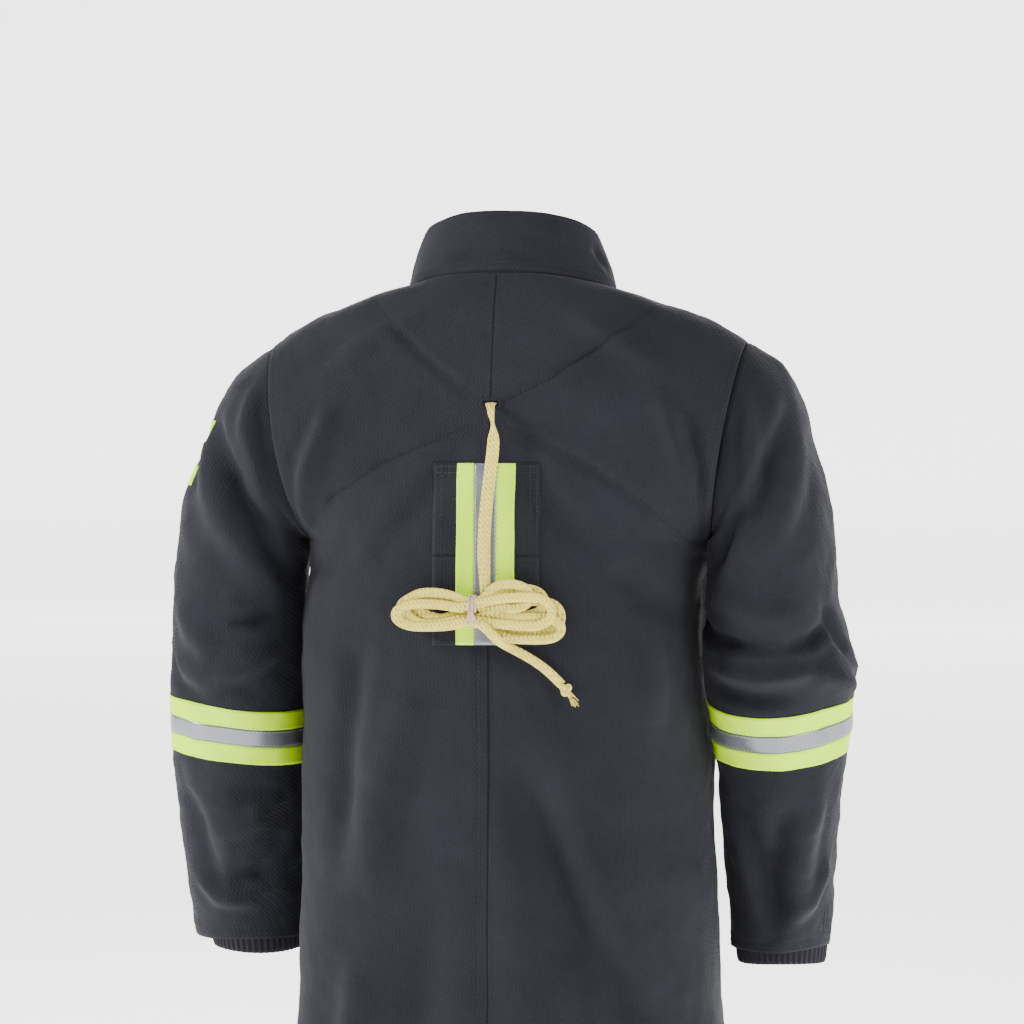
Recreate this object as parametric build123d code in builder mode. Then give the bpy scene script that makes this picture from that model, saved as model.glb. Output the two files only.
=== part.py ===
"""Turnout coat: shell, thermal liner, stand collar, zipped front, hinged sleeves and rescue strap.

Millimetres, +Z up, the front facing -Y, the wearer's left at +X. The origin is the point of the
hanger loop that bears on a hook, inside the back of the neck. The coat hangs as it does on a wearer.
"""

import os
from math import atan2, cos, degrees, dist, hypot, radians, sin, sqrt, tan

from build123d import *

os.makedirs("parts", exist_ok=True)

# ---------------------------------------------------------------- driving dimensions
BACK_LENGTH = 813.0  # collar seam to hem at the centre back
MID_Y = -76.0  # plane of the side and shoulder seams, in front of the hanger loop
SHELL = 2.0  # outer shell cloth
WEBBING = (2.2, 3.4)  # the drag harness and hem facing lie this far inside the coat's surface
BARRIER = (3.6, 4.2)  # moisture barrier
LINER = (4.4, 6.8)  # quilted thermal liner
FLAT = 36.0  # half width of the flat strip down the front that carries the zip
FRONT_EDGE = 8.0  # each shell front stops this far from the centre
NECK_WIDTH = 97.0  # half width of the neck opening
NECK_BACK = 85.0
NECK_FRONT = 92.0
THROAT_Z = -40.0
HEM_FRONT = 142.0
ARMHOLE_R = 91.0
ARMHOLE_AT = (202.0, -152.0)  # x and z of its centre
ARMHOLE_TILT = 10.0  # degrees, the lower edge nearer the body
COLLAR_BACK = (64.0, 56.0)  # top of the collar behind: distance from the seam plane, height
COLLAR_FRONT = (84.0, 8.0)  # top of the collar in front
COLLAR_WIDTH = 80.0  # half width of the collar's top edge
ELBOW = (-72.0, -345.0)  # y and z of the elbow's hinge line
NOTCH = (50.0, 28.0)  # degrees cut from the upper sleeve and the forearm in front of the elbow
SLEEVE_END = -620.0
TAPE_WIDTH = 50.8  # two-inch reflective trim
STRIPE_WIDTH = 17.0  # the silver stripe along its middle
BAND_TOP = -393.0
PATCH_HALF = 48.0  # rope pocket: half width, top, split and bottom
PATCH_TOP, PATCH_SPLIT, PATCH_BOTTOM = -170.0, -252.0, -335.0
SLIT_Z = -118.0
STRAP = 7.5  # the rescue strap's webbing, taken as a round section
ZIP_TOP = -12.0  # along the front strip, from the throat
ZIP_BOTTOM = -690.0
TOOTH_PITCH = 5.0
FLAP_TOP = -62.0
FLAP_BOTTOM = -752.0
FLAP_EDGE = 30.0  # half width of the storm flap
POCKET_WIDTH = 104.0
POCKET_HEIGHT = 170.0
POCKET_AT = (114.0, -655.0)  # x and z of the pocket's middle
POCKET_TURN = 21.0  # degrees the pocket faces away from straight ahead
POCKET_DEPTH = 14.0
BIG = 600.0

TILT = radians(ARMHOLE_TILT)
LEAN = atan2(HEM_FRONT - NECK_FRONT, THROAT_Z + BACK_LENGTH)  # the front's slope, in radians
FRONT = Plane(
    origin=(0, MID_Y - NECK_FRONT, THROAT_Z), x_dir=(1, 0, 0), z_dir=(0, -cos(LEAN), sin(LEAN))
)  # local y runs up the front strip from the throat, local z is outward
SIDES = (("left", 1), ("right", -1))

# The back's outline from the side: height, distance behind the seam plane.
BACK_PROFILE = [
    (0, NECK_BACK), (-50, 104), (-112, 118), (-200, 127), (-320, 131),
    (-450, 131), (-600, 133), (-BACK_LENGTH, 140),
]

# Horizontal stations: height behind, drop from back to front, half width (None where the
# armhole sets it), squareness.
STATIONS = [
    (-BACK_LENGTH, 0, 208, 2.6), (-640, 0, 187, 2.6), (-400, 0, 184, 2.6), (-262, 0, 185.5, 2.5),
    (-243, 0, 186.5, 2.5), (-239, 0, None, 2.5), (-231, 0, None, 2.5), (-216, 0, None, 2.4),
    (-190, 0, None, 2.4), (-152, 0, None, 2.4), (-114, 0, None, 2.4), (-88, 4, None, 2.3),
    (-70, 8, None, 2.2), (-58, 16, None, 2.1), (-46, 28, 213, 2.1), (-29, 34, 188, 2.0),
    (-13, 38, 146, 2.0), (0, -THROAT_Z, NECK_WIDTH, 2.0),
]

# The left sleeve's stations: centre x, z; half size across; half depth; centre y; slope of the
# section's normal below the horizontal, in degrees.
SLEEVE = [
    (202.6, -152.1, ARMHOLE_R, ARMHOLE_R, MID_Y, ARMHOLE_TILT),
    (224.0, -166.0, 85, 90, MID_Y, 24),
    (238.0, -198.0, 66, 84, MID_Y + 1, 44),
    (250.0, -262.0, 59, 76, MID_Y + 3, 90),
    (253.5, -345.0, 61, 70, MID_Y + 4, 90),
    (253.5, -450.0, 60, 65, MID_Y - 18, 90),
    (250.5, -560.0, 56, 59, MID_Y - 50, 90),
    (249.0, SLEEVE_END, 53.5, 55, MID_Y - 66, 90),
]


# ---------------------------------------------------------------- surfaces
def along(profile, z):
    """The value of a falling profile of (height, value) pairs at a height."""
    for (z0, v0), (z1, v1) in zip(profile, profile[1:]):
        if z1 <= z <= z0:
            return v0 + (v1 - v0) * (z0 - z) / (z0 - z1)
    return profile[-1][1] if z < 0 else profile[0][1]


def front_depth(z):
    return NECK_FRONT + (THROAT_Z - z) * (HEM_FRONT - NECK_FRONT) / (THROAT_Z + BACK_LENGTH)


def station_shape(station):
    """Back and front half depths, half width, squareness, height at the seam plane, slope."""
    z, drop, width, squareness = station
    back, front = along(BACK_PROFILE, z), front_depth(z - drop)
    slope = atan2(drop, back + front)
    mid = z - back * tan(slope)
    if width is None:
        t = (mid - ARMHOLE_AT[1]) / cos(TILT)
        y = sqrt(max(ARMHOLE_R**2 - t**2, 0))
        x = ARMHOLE_AT[0] + (mid - ARMHOLE_AT[1]) * tan(TILT)
        width = x / (1 - (2 * y / (back + front)) ** squareness) ** (1 / squareness)
    return back / cos(slope), front / cos(slope), width, squareness, mid, slope


def half_curve(shape, inset, stop):
    """Points of half a section: centre back to side, and side to the front edge at x = stop."""
    back, front, width, n, _, _ = shape
    width -= inset
    rear = [(width * cos(a) ** (2 / n), (back - inset) * sin(a) ** (2 / n))
            for a in map(radians, (90, 72, 54, 36, 20, 8, 0))]
    fore = [(FLAT + (width - FLAT) * sin(a) ** (2 / n), -(front - inset) * cos(a) ** (2 / n))
            for a in map(radians, (82, 70, 54, 36, 18, 8, 0))]
    fore += [(FLAT + (stop - FLAT) * k / 3, -(front - inset)) for k in (1, 2, 3)]
    return rear, fore


def station_plane(shape):
    slope = shape[5]
    return Plane(origin=(0, MID_Y, shape[4]), x_dir=(1, 0, 0), z_dir=(0, -sin(slope), cos(slope)))


def torso_layer(outer, inner, part, stop=FRONT_EDGE, lowest=-BACK_LENGTH):
    """Cloth of the left half between two insets: part is back, front or both."""
    with BuildPart() as cloth:
        for station in STATIONS:
            if station[0] < lowest:
                (z0, _, w0, n), (z1, _, w1, _) = STATIONS[0], STATIONS[1]
                station = (lowest, 0, w0 + (w1 - w0) * (lowest - z0) / (z1 - z0), n)
            shape = station_shape(station)
            with BuildSketch(station_plane(shape)):
                with BuildLine():
                    ends = []
                    for inset in (outer, inner):
                        rear, fore = half_curve(shape, inset, stop)
                        points = {"back": rear, "front": rear[-1:] + fore, "both": rear + fore}[part]
                        Spline(*points)
                        ends.append((points[0], points[-1]))
                    Line(ends[0][0], ends[1][0])
                    Line(ends[0][1], ends[1][1])
                make_face()
        loft(ruled=True)
        low = ARMHOLE_AT[0] + (-243 - ARMHOLE_AT[1]) * tan(TILT)
        high = ARMHOLE_AT[0] + (100 - ARMHOLE_AT[1]) * tan(TILT)
        with BuildSketch(Plane.XZ.offset(-BIG)):
            with BuildLine():
                Polyline((low, -243), (high, 100), (BIG, 100), (BIG, -243), close=True)
            make_face()
        extrude(amount=2 * BIG, mode=Mode.SUBTRACT)
    return cloth.part


def sleeve_solid(inset):
    """The filled left sleeve, from the armhole to its end."""
    with BuildPart() as body:
        for x, z, across, depth, y, slope in SLEEVE:
            a = radians(slope)
            plane = Plane(origin=(x, y, z), x_dir=(0, 1, 0), z_dir=(cos(a), 0, -sin(a)))
            with BuildSketch(plane):
                Ellipse(depth - inset, across - inset)
        loft(ruled=True)
    return body.part


def sleeve_layer(outer, inner):
    with BuildPart() as cloth:
        add(sleeve_solid(outer))
        add(sleeve_solid(inner), mode=Mode.SUBTRACT)
    return cloth.part


def back_y(x, z):
    """The back's outer surface at a point, between the level stations above and below it."""
    above = min((station for station in STATIONS if station[0] >= z), key=lambda station: station[0])
    below = max((station for station in STATIONS if station[0] <= z), key=lambda station: station[0])
    depths = []
    for station in (below, above):
        back, _, width, n, _, _ = station_shape(station)
        depths.append(back * (1 - (abs(x) / width) ** n) ** (1 / n))
    share = (z - below[0]) / ((above[0] - below[0]) or 1)
    return MID_Y + depths[0] + (depths[1] - depths[0]) * share


def back_layer(x, z, near, far):
    """A thin piece lying on the back between two x, two z and two heights off the cloth."""
    spots = [x[0] + (x[1] - x[0]) * k / 6 for k in range(7)]
    between = [station[0] for station in STATIONS if min(z) < station[0] < max(z)]
    with BuildPart() as piece:
        for level in sorted({*z, *between}):
            with BuildSketch(Plane.XY.offset(level)):
                with BuildLine():
                    for off in (near, far):
                        Spline(*[(spot, back_y(spot, level) + off) for spot in spots])
                    for spot in (spots[0], spots[-1]):
                        Line((spot, back_y(spot, level) + near), (spot, back_y(spot, level) + far))
                make_face()
        loft(ruled=True)
    return piece.part


def window(x=(-BIG, BIG), y=(-BIG, BIG), z=(-2 * BIG, BIG), mode=Mode.INTERSECT):
    """Keep, or cut away, the box between the given limits."""
    with Locations(((x[0] + x[1]) / 2, (y[0] + y[1]) / 2, (z[0] + z[1]) / 2)):
        Box(x[1] - x[0], y[1] - y[0], z[1] - z[0], mode=mode)


def save(part, name):
    part.label = name
    export_step(part, "parts/" + name + ".step")


def save_side(part, name, side):
    """Save a left-hand piece as it is, or mirrored for the wearer's right."""
    save(part if side == "left" else mirror(part, about=Plane.YZ), side + "_" + name)


def save_pair(part, name):
    """Save a left-hand piece together with its mirror image as one node."""
    with BuildPart() as pair:
        add(part)
        add(mirror(part, about=Plane.YZ))
    save(pair.part, name)


# ---------------------------------------------------------------- torso cloth
for side, s in SIDES:
    with BuildPart() as shell_back:
        add(torso_layer(0, SHELL, "back"))
        window(x=(-8, 8), y=(0, BIG), z=(SLIT_Z - 5.5, SLIT_Z + 5.5), mode=Mode.SUBTRACT)
    save_side(shell_back.part, "shell_back", side)
    save_side(torso_layer(0, SHELL, "front"), "shell_front", side)

save_pair(torso_layer(*BARRIER, "both", 40, -788.0), "moisture_barrier")
save_pair(torso_layer(*LINER, "both", 40, -788.0), "thermal_liner")

with BuildPart() as facing_half:
    add(torso_layer(*WEBBING, "both", 24))
    window(z=(-2 * BIG, -788.6))
save_pair(facing_half.part, "hem_facing")

with BuildPart() as webbing_half:
    add(torso_layer(*WEBBING, "back"))
    with BuildSketch(Plane.XZ.offset(-BIG)) as straps:
        for x, z in ((122, -30), (178, -236)):
            with Locations(Location((x / 2, (z + SLIT_Z) / 2), degrees(atan2(z - SLIT_Z, x)))):
                Rectangle(hypot(x, z - SLIT_Z), 25)
        with Locations((0, SLIT_Z)):
            Circle(16)
    extrude(amount=2 * BIG, mode=Mode.INTERSECT)
save_pair(webbing_half.part, "drag_harness")

# ---------------------------------------------------------------- collar
NECK = station_plane(station_shape(STATIONS[-1]))
collar_drop = atan2(COLLAR_BACK[1] - COLLAR_FRONT[1], COLLAR_BACK[0] + COLLAR_FRONT[0])
collar_mid = COLLAR_BACK[1] - COLLAR_BACK[0] * tan(collar_drop)
COLLAR_TOP = Plane(
    origin=(0, MID_Y, collar_mid), x_dir=(1, 0, 0),
    z_dir=(0, -sin(collar_drop), cos(collar_drop)))
neck_shape = station_shape(STATIONS[-1])
top_shape = (
    COLLAR_BACK[0] / cos(collar_drop), COLLAR_FRONT[0] / cos(collar_drop),
    COLLAR_WIDTH, 2.0, collar_mid, collar_drop,
)
for name, outer, inner in (("collar_outer", 0, 2.0), ("collar_lining", 2.2, 4.4)):
    with BuildPart() as half:
        for plane, shape in ((NECK, neck_shape), (COLLAR_TOP, top_shape)):
            with BuildSketch(plane):
                with BuildLine():
                    ends = []
                    for inset in (outer, inner):
                        rear, fore = half_curve(shape, inset, 3)
                        Spline(*rear, *fore)
                        ends.append((rear[0], fore[-1]))
                    Line(ends[0][0], ends[1][0])
                    Line(ends[0][1], ends[1][1])
                make_face()
        loft(ruled=True)
    save_pair(half.part, name)

# The loop's underside is the origin, where it bears on a hook.
with BuildPart() as hanger_loop:
    with BuildSketch(Plane.XZ.offset(7)):
        with BuildLine():
            Polyline(
                (-34, -16), (-22, -16), (-12, 0), (12, 0), (22, -16), (34, -16), (34, -14.6),
                (22.8, -14.6), (12.8, 1.4), (-12.8, 1.4), (-22.8, -14.6), (-34, -14.6), close=True)
        make_face()
    extrude(amount=-8.5)
    for x in (-30, 30):
        with BuildSketch(Plane.XZ.offset(1.4)):
            with Locations((x, -21)):
                Rectangle(8, 12)
        extrude(amount=-2.4)
save(hanger_loop.part, "hanger_loop")

# ---------------------------------------------------------------- rope pocket and rescue strap
patch = (0.15, 1.65)
save(back_layer((-PATCH_HALF, PATCH_HALF), (PATCH_TOP, PATCH_SPLIT), *patch), "rope_pocket_upper")
save(back_layer((-PATCH_HALF, PATCH_HALF), (PATCH_SPLIT - 3, PATCH_BOTTOM), *patch),
     "rope_pocket_lower")
for name, half_width, near, far in (
    ("patch_tape_lime", TAPE_WIDTH / 2, 1.75, 2.1), ("patch_tape_silver", STRIPE_WIDTH / 2, 2.2, 2.5)
):
    with BuildPart() as tape:
        for z in ((PATCH_TOP - 1, PATCH_SPLIT), (PATCH_SPLIT - 3, PATCH_BOTTOM + 1)):
            add(back_layer((-half_width, half_width), z, near, far))
    save(tape.part, name)

with BuildPart() as slit_binding:
    add(back_layer((-15, 15), (SLIT_Z + 10, SLIT_Z - 10), 0.15, 0.9))
    window(x=(-8, 8), y=(0, BIG), z=(SLIT_Z - 5.5, SLIT_Z + 5.5), mode=Mode.SUBTRACT)
save(slit_binding.part, "slit_binding")


def cord(points, name):
    """A round cord along a filleted polyline; each radius follows from the shorter run beside it."""
    radii = []
    for a, b, c in zip(points, points[1:], points[2:]):
        u = [(q - p) / dist(a, b) for p, q in zip(a, b)]
        v = [(q - p) / dist(b, c) for p, q in zip(b, c)]
        turn = atan2(dist(u, v) / 2, dist(u, [-w for w in v]) / 2)  # half the turn
        radii.append(0.45 * min(dist(a, b), dist(b, c)) / tan(turn))
    with BuildPart() as run:
        with BuildLine() as route:
            FilletPolyline(*points, radius=radii)
        wire = route.wires()[0]
        with BuildSketch(Plane(origin=points[0], z_dir=wire % 0)):
            Circle(STRAP / 2)
        sweep()
    length = wire.length
    print(name, "radii", [round(r, 1) for r in radii], "length", round(length, 1),
          "volume over section x length", round(run.part.volume / (length * 3.14159 * STRAP**2 / 4), 4))
    save(run.part, name)


HANK_Y = 70.5
cord(
    [(0, 41.6, SLIT_Z), (-2, 57.5, -120), (-6, 56, -148), (-1, 60.5, -190),
     (3, 64, -238), (0.5, 68.5, -281.5)],
    "rescue_strap_run")

# The hank as one solid: sections across it at x, half depth, half height, centre z.
HANK = [
    (-76, 4, 13, -312), (-68, 9, 27, -309), (-48, 12, 27, -305), (-22, 12, 22, -303),
    (4.6, 9, 17, -301), (16, 9, 17, -301), (38, 12, 23, -301), (62, 11, 21, -303), (80, 4, 8, -308),
]
with BuildPart() as hank:
    for x, depth, height, z in HANK:
        with BuildSketch(Plane(origin=(x, HANK_Y, z), x_dir=(0, 1, 0), z_dir=(1, 0, 0))):
            Ellipse(depth, height)
    loft(ruled=True)
save(hank.part, "rescue_strap_hank")

with BuildPart() as strap_tie:
    with BuildSketch(Plane(origin=(6.5, HANK_Y, -301), x_dir=(0, 1, 0), z_dir=(1, 0, 0))):
        Ellipse(10.4, 18.4)
        Ellipse(9.05, 17.05, mode=Mode.SUBTRACT)
    extrude(amount=8)
save(strap_tie.part, "strap_tie")

cord([(-15, 65, -329.5), (-36, 63.5, -340), (-54, 61, -352), (-66, 58, -365)], "rescue_strap_tail")
with BuildPart() as end_knot:
    with BuildSketch(Plane(origin=(-66, 58, -365), z_dir=(-12, -3, -13))):
        Circle(5.6)
    extrude(amount=11)
save(end_knot.part, "strap_end_knot")

# ---------------------------------------------------------------- sleeves
outer_sleeve = sleeve_layer(0, SHELL)
inner_sleeve = sleeve_layer(2.6, 5.0)
elbow_y, elbow_z = ELBOW


def elbow_cutter(cut, gap, below):
    """What to cut from a sleeve at the elbow, the cut sloping away from the other half in front."""
    drop = tan(radians(cut)) * (BIG + elbow_y)
    edge = elbow_z + gap if below else elbow_z - gap
    front = edge + drop if below else edge - drop
    far = -3 * BIG if below else 3 * BIG
    with BuildPart() as cutter:
        with BuildSketch(Plane.YZ):
            with BuildLine():
                Polyline((BIG, edge), (elbow_y, edge), (-BIG, front), (-BIG, far), (BIG, far), close=True)
            make_face()
        extrude(amount=BIG)
    return cutter.part


upper_cut = elbow_cutter(NOTCH[0], 0.3, True)
forearm_cut = elbow_cutter(NOTCH[1], 0.3, False)
for side, s in SIDES:
    for cloth, name, end in ((outer_sleeve, "shell", SLEEVE_END), (inner_sleeve, "liner", -598.0)):
        with BuildPart() as upper:
            add(cloth)
            add(upper_cut, mode=Mode.SUBTRACT)
        save_side(upper.part, "upper_sleeve_" + name, side)
        with BuildPart() as forearm:
            add(cloth)
            add(forearm_cut, mode=Mode.SUBTRACT)
            window(z=(end, BIG))
        save_side(forearm.part, "forearm_" + name, side)

    middle = BAND_TOP - TAPE_WIDTH / 2
    for name, outer, inner, width in (
        ("band_lime", -0.55, -0.05, TAPE_WIDTH), ("band_silver", -0.9, -0.6, STRIPE_WIDTH)
    ):
        with BuildPart() as band:
            add(sleeve_layer(outer, inner))
            window(z=(middle - width / 2, middle + width / 2))
        save_side(band.part, name, side)

    with BuildPart() as knit_cuff:
        for wall, mode in ((0, Mode.ADD), (2.5, Mode.SUBTRACT)):
            for x, y, z, r in ((250, -130, -582, 47.5), (249, -138, -612, 44), (248.5, -142, -634, 42)):
                with BuildSketch(Plane(origin=(x, y, z), z_dir=(0, 0, -1))):
                    Circle(r - wall)
            loft(ruled=True, mode=mode)
    save_side(knit_cuff.part, "knit_cuff", side)

with BuildPart() as sleeve_mark:
    add(sleeve_layer(-0.6, -0.05))
    window(x=(270, BIG), y=(-92, -52), z=(-196, -130))
    for z in (-150, -174):
        window(z=(z - 5, z + 5), mode=Mode.SUBTRACT)
save(sleeve_mark.part, "sleeve_mark")

# ---------------------------------------------------------------- front closure
with BuildPart() as facing:
    with BuildSketch(FRONT.offset(-6.8)):
        with Locations((30, (ZIP_TOP - 770) / 2)):
            Rectangle(17, 770 + ZIP_TOP)
    extrude(amount=2.4)
save_pair(facing.part, "front_facings")

for side, s in SIDES:
    with BuildPart() as zip_tape:
        with BuildSketch(FRONT.offset(-2.9)):
            with Locations((10.4, (ZIP_TOP + ZIP_BOTTOM) / 2)):
                Rectangle(14, ZIP_TOP - ZIP_BOTTOM)
        extrude(amount=0.8)
    save_side(zip_tape.part, "zip_tape", side)

    with BuildPart() as zip_teeth:
        count = int((ZIP_TOP - ZIP_BOTTOM - 8) / TOOTH_PITCH)
        with BuildSketch(FRONT.offset(-3.4)):
            with Locations([
                (2.1, ZIP_TOP - 4 - TOOTH_PITCH * (k + (0 if side == "left" else 0.5)))
                for k in range(count)
            ]):
                Rectangle(2.4, 2.6)
        extrude(amount=2.0)
    save_side(zip_teeth.part, "zip_teeth", side)

SLIDER_V = ZIP_TOP - 4.0
with BuildPart() as zip_slider:
    for w in (-5.2, -0.9):
        with BuildSketch(FRONT.offset(w)):
            with Locations((0, SLIDER_V - 8)):
                RectangleRounded(13, 17, 2.5)
        extrude(amount=1.3)
    with BuildSketch(FRONT.offset(-4.0)):
        with Locations((0, SLIDER_V - 2.5)):
            Rectangle(1.0, 5)
    extrude(amount=3.2)
    with BuildSketch(FRONT.offset(0.3)):
        with Locations((0, SLIDER_V - 3), (0, SLIDER_V - 12)):
            Rectangle(2.4, 1.8)
    extrude(amount=3.1)
    with BuildSketch(FRONT.offset(2.7)):
        with Locations((0, SLIDER_V - 7.5)):
            Rectangle(2.4, 10.8)
    extrude(amount=0.8)
save(zip_slider.part, "zip_slider")

with BuildPart() as zip_pull:
    with BuildSketch(FRONT.offset(0.9)):
        with Locations((0, SLIDER_V - 22.5)):
            RectangleRounded(9, 36, 3)
        with Locations((0, SLIDER_V - 7.5)):
            Rectangle(3.6, 3.4, mode=Mode.SUBTRACT)
        with Locations((0, SLIDER_V - 12)):
            Rectangle(3.6, 8.6, mode=Mode.SUBTRACT)
    extrude(amount=1.2)
save(zip_pull.part, "zip_pull")

with BuildPart() as zip_stops:
    with BuildSketch(FRONT.offset(-3.4)):
        with Locations((-1.9, ZIP_TOP - 1.2), (1.9, ZIP_TOP - 1.2)):
            Rectangle(2.4, 2.2)
        with Locations((0, ZIP_BOTTOM - 5)):
            Rectangle(6.4, 9)
    extrude(amount=2.6)
save(zip_stops.part, "zip_stops")

FLAP_MIDDLE = (FLAP_TOP + FLAP_BOTTOM) / 2
with BuildPart() as storm_flap:
    with BuildSketch(FRONT.offset(3.8)):
        with Locations((1, FLAP_MIDDLE)):
            Rectangle(2 * FLAP_EDGE + 2, FLAP_TOP - FLAP_BOTTOM)
    extrude(amount=2.4)
save(storm_flap.part, "storm_flap")
with BuildPart() as storm_flap_hook:
    with BuildSketch(FRONT.offset(2.0)):
        with Locations((-21, FLAP_MIDDLE)):
            Rectangle(16, FLAP_TOP - FLAP_BOTTOM - 20)
    extrude(amount=1.8)
save(storm_flap_hook.part, "storm_flap_hook_strip")
with BuildPart() as storm_loop:
    with BuildSketch(FRONT.offset(0.05)):
        with Locations((-21, FLAP_MIDDLE)):
            Rectangle(16, FLAP_TOP - FLAP_BOTTOM - 20)
    extrude(amount=1.6)
save(storm_loop.part, "storm_flap_loop_strip")
with BuildPart() as storm_root:
    with BuildSketch(FRONT.offset(0.05)):
        with Locations((33.5, FLAP_MIDDLE)):
            Rectangle(7, FLAP_TOP - FLAP_BOTTOM)
    extrude(amount=3.0)
save(storm_root.part, "storm_flap_root")

# Throat tab: closes the collar over the zip, hinged on the wearer's left.
collar_lean = atan2(COLLAR_FRONT[0] - NECK_FRONT, COLLAR_FRONT[1] - THROAT_Z)
THROAT = Plane(
    origin=(0, MID_Y - NECK_FRONT, THROAT_Z), x_dir=(1, 0, 0),
    z_dir=(0, -cos(collar_lean), -sin(collar_lean)))
for w, h, x, thick, near, name in (
    (50, 24, -7, 2.2, 2.6, "throat_tab"), (14, 18, -24, 1.0, 1.6, "throat_tab_hook_patch"),
    (14, 18, -24, 1.0, 0.3, "throat_tab_loop_patch"), (8, 24, 23, 2.2, 0.3, "throat_tab_root"),
):
    with BuildPart() as piece:
        with BuildSketch(THROAT.offset(near)):
            with Locations((x, 30)):
                Rectangle(w, h)
        extrude(amount=thick)
    save(piece.part, name)

# ---------------------------------------------------------------- front pockets
px, pz = POCKET_AT
turn = radians(POCKET_TURN)
rear, fore = half_curve(station_shape((pz, 0, 188, 2.6)), 0, FRONT_EDGE)
reach = max(x * sin(turn) - y * cos(turn) for x, y in fore)  # the cloth's furthest point outward
out = (sin(turn), -cos(turn))
slide = px * sin(turn) - reach
middle = (px, slide / cos(turn))
POCKET = Plane(
    origin=(middle[0], MID_Y + middle[1], pz), x_dir=(cos(turn), sin(turn), 0),
    z_dir=(out[0] * cos(LEAN), out[1] * cos(LEAN), sin(LEAN))).offset(2.0)

around = torso_layer(-45, -0.05, "front")  # the space just outside the shell's front

w2, h2, d = POCKET_WIDTH / 2, POCKET_HEIGHT / 2, POCKET_DEPTH
for side, s in SIDES:
    with BuildPart() as pocket:
        with BuildSketch(POCKET.offset(-70)):
            Rectangle(POCKET_WIDTH, POCKET_HEIGHT)
        extrude(amount=70 + d)
        with BuildSketch(POCKET.offset(-70)):
            with Locations((0, 5)):
                Rectangle(POCKET_WIDTH - 4, POCKET_HEIGHT + 6)
        extrude(amount=70 + d - 2, mode=Mode.SUBTRACT)
        add(around, mode=Mode.INTERSECT)
    save_side(pocket.part, "pocket", side)

    # The flap's section: up the front of the pocket, then over its top to the coat.
    with BuildPart() as pocket_flap:
        section = Plane(origin=POCKET.origin, x_dir=POCKET.y_dir, z_dir=POCKET.x_dir)
        with BuildSketch(section.offset(-w2 - 3)):
            with BuildLine():
                near, far = d + 2.7, d + 4.9
                Polyline(
                    (h2 - 58, near), (h2 + 3, near), (h2 + 24, 4.0), (h2 + 25.5, 5.6),
                    (h2 + 4, far), (h2 - 58, far), close=True)
            make_face()
        extrude(amount=POCKET_WIDTH + 6)
    save_side(pocket_flap.part, "pocket_flap", side)

    with BuildPart() as hook_patch:
        with BuildSketch(POCKET.offset(d + 1.6)):
            with Locations((0, h2 - 32)):
                Rectangle(60, 22)
        extrude(amount=1.1)
    save_side(hook_patch.part, "pocket_hook_patch", side)

with BuildPart() as loop_patch:
    with BuildSketch(POCKET.offset(d + 0.05)):
        with Locations((0, h2 - 32)):
            Rectangle(60, 22)
    extrude(amount=1.2)
save_pair(loop_patch.part, "pocket_loop_patches")

with BuildPart() as flap_root:
    with BuildSketch(POCKET.offset(-30)):
        with Locations((0, h2 + 31)):
            Rectangle(POCKET_WIDTH + 6, 8)
    extrude(amount=33)
    add(around, mode=Mode.INTERSECT)
save_pair(flap_root.part, "pocket_flap_roots")

print("pocket flap hinge", POCKET.from_local_coords((0, h2 + 26, 5.2)), "along", POCKET.x_dir)
print("storm flap hinge", FRONT.from_local_coords((34, 0, 5)), "along", FRONT.y_dir)
print("zip pull hinge", FRONT.from_local_coords((0, SLIDER_V - 5.15, 1.5)))
print("throat tab hinge", THROAT.from_local_coords((18.5, 30, 4)), "along", THROAT.y_dir)
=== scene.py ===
import math
import random

import bpy
import numpy as np
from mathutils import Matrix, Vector, noise
from mathutils.bvhtree import BVHTree


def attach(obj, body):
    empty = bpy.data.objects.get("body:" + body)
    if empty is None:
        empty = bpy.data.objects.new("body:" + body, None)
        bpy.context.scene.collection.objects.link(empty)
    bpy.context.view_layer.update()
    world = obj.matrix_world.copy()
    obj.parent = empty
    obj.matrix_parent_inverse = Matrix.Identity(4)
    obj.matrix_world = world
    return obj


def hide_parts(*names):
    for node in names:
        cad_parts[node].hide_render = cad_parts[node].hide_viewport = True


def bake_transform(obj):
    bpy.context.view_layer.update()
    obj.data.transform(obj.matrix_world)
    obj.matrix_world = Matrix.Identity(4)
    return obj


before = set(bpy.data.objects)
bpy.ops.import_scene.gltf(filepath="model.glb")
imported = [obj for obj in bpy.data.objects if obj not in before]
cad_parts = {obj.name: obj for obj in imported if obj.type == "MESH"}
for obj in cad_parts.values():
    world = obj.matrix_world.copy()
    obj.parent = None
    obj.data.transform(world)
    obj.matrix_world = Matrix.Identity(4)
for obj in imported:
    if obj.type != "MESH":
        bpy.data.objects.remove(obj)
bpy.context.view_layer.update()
random.seed(4)

# The coat is described in millimetres: z up from the neck seam, y towards the back, x to the wearer's left.
MM = 0.001
MID = -76.0
HEM = -813
SIDES = (("left", 1), ("right", -1))

# ------------------------------------------------------------------ camera
AZIMUTH, ELEVATION, DISTANCE = math.radians(189.6), math.radians(1.5), 3.0
AIM = Vector((0.001, -0.076, -0.217))
scene = bpy.context.scene


def add(name, data):
    """A new object in the scene."""
    o = bpy.data.objects.new(name, data)
    scene.collection.objects.link(o)
    return o


def look_at(o, place, target):
    o.location = place
    o.rotation_euler = (target - o.location).to_track_quat("-Z", "Y").to_euler()


lens = bpy.data.cameras.new("camera")
lens.lens = 114.6
lens.sensor_width = 36.0
scene.camera = add("camera", lens)
level = math.cos(ELEVATION)
towards = Vector((math.sin(AZIMUTH) * level, -math.cos(AZIMUTH) * level, math.sin(ELEVATION)))
look_at(scene.camera, AIM + DISTANCE * towards, AIM)


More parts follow.
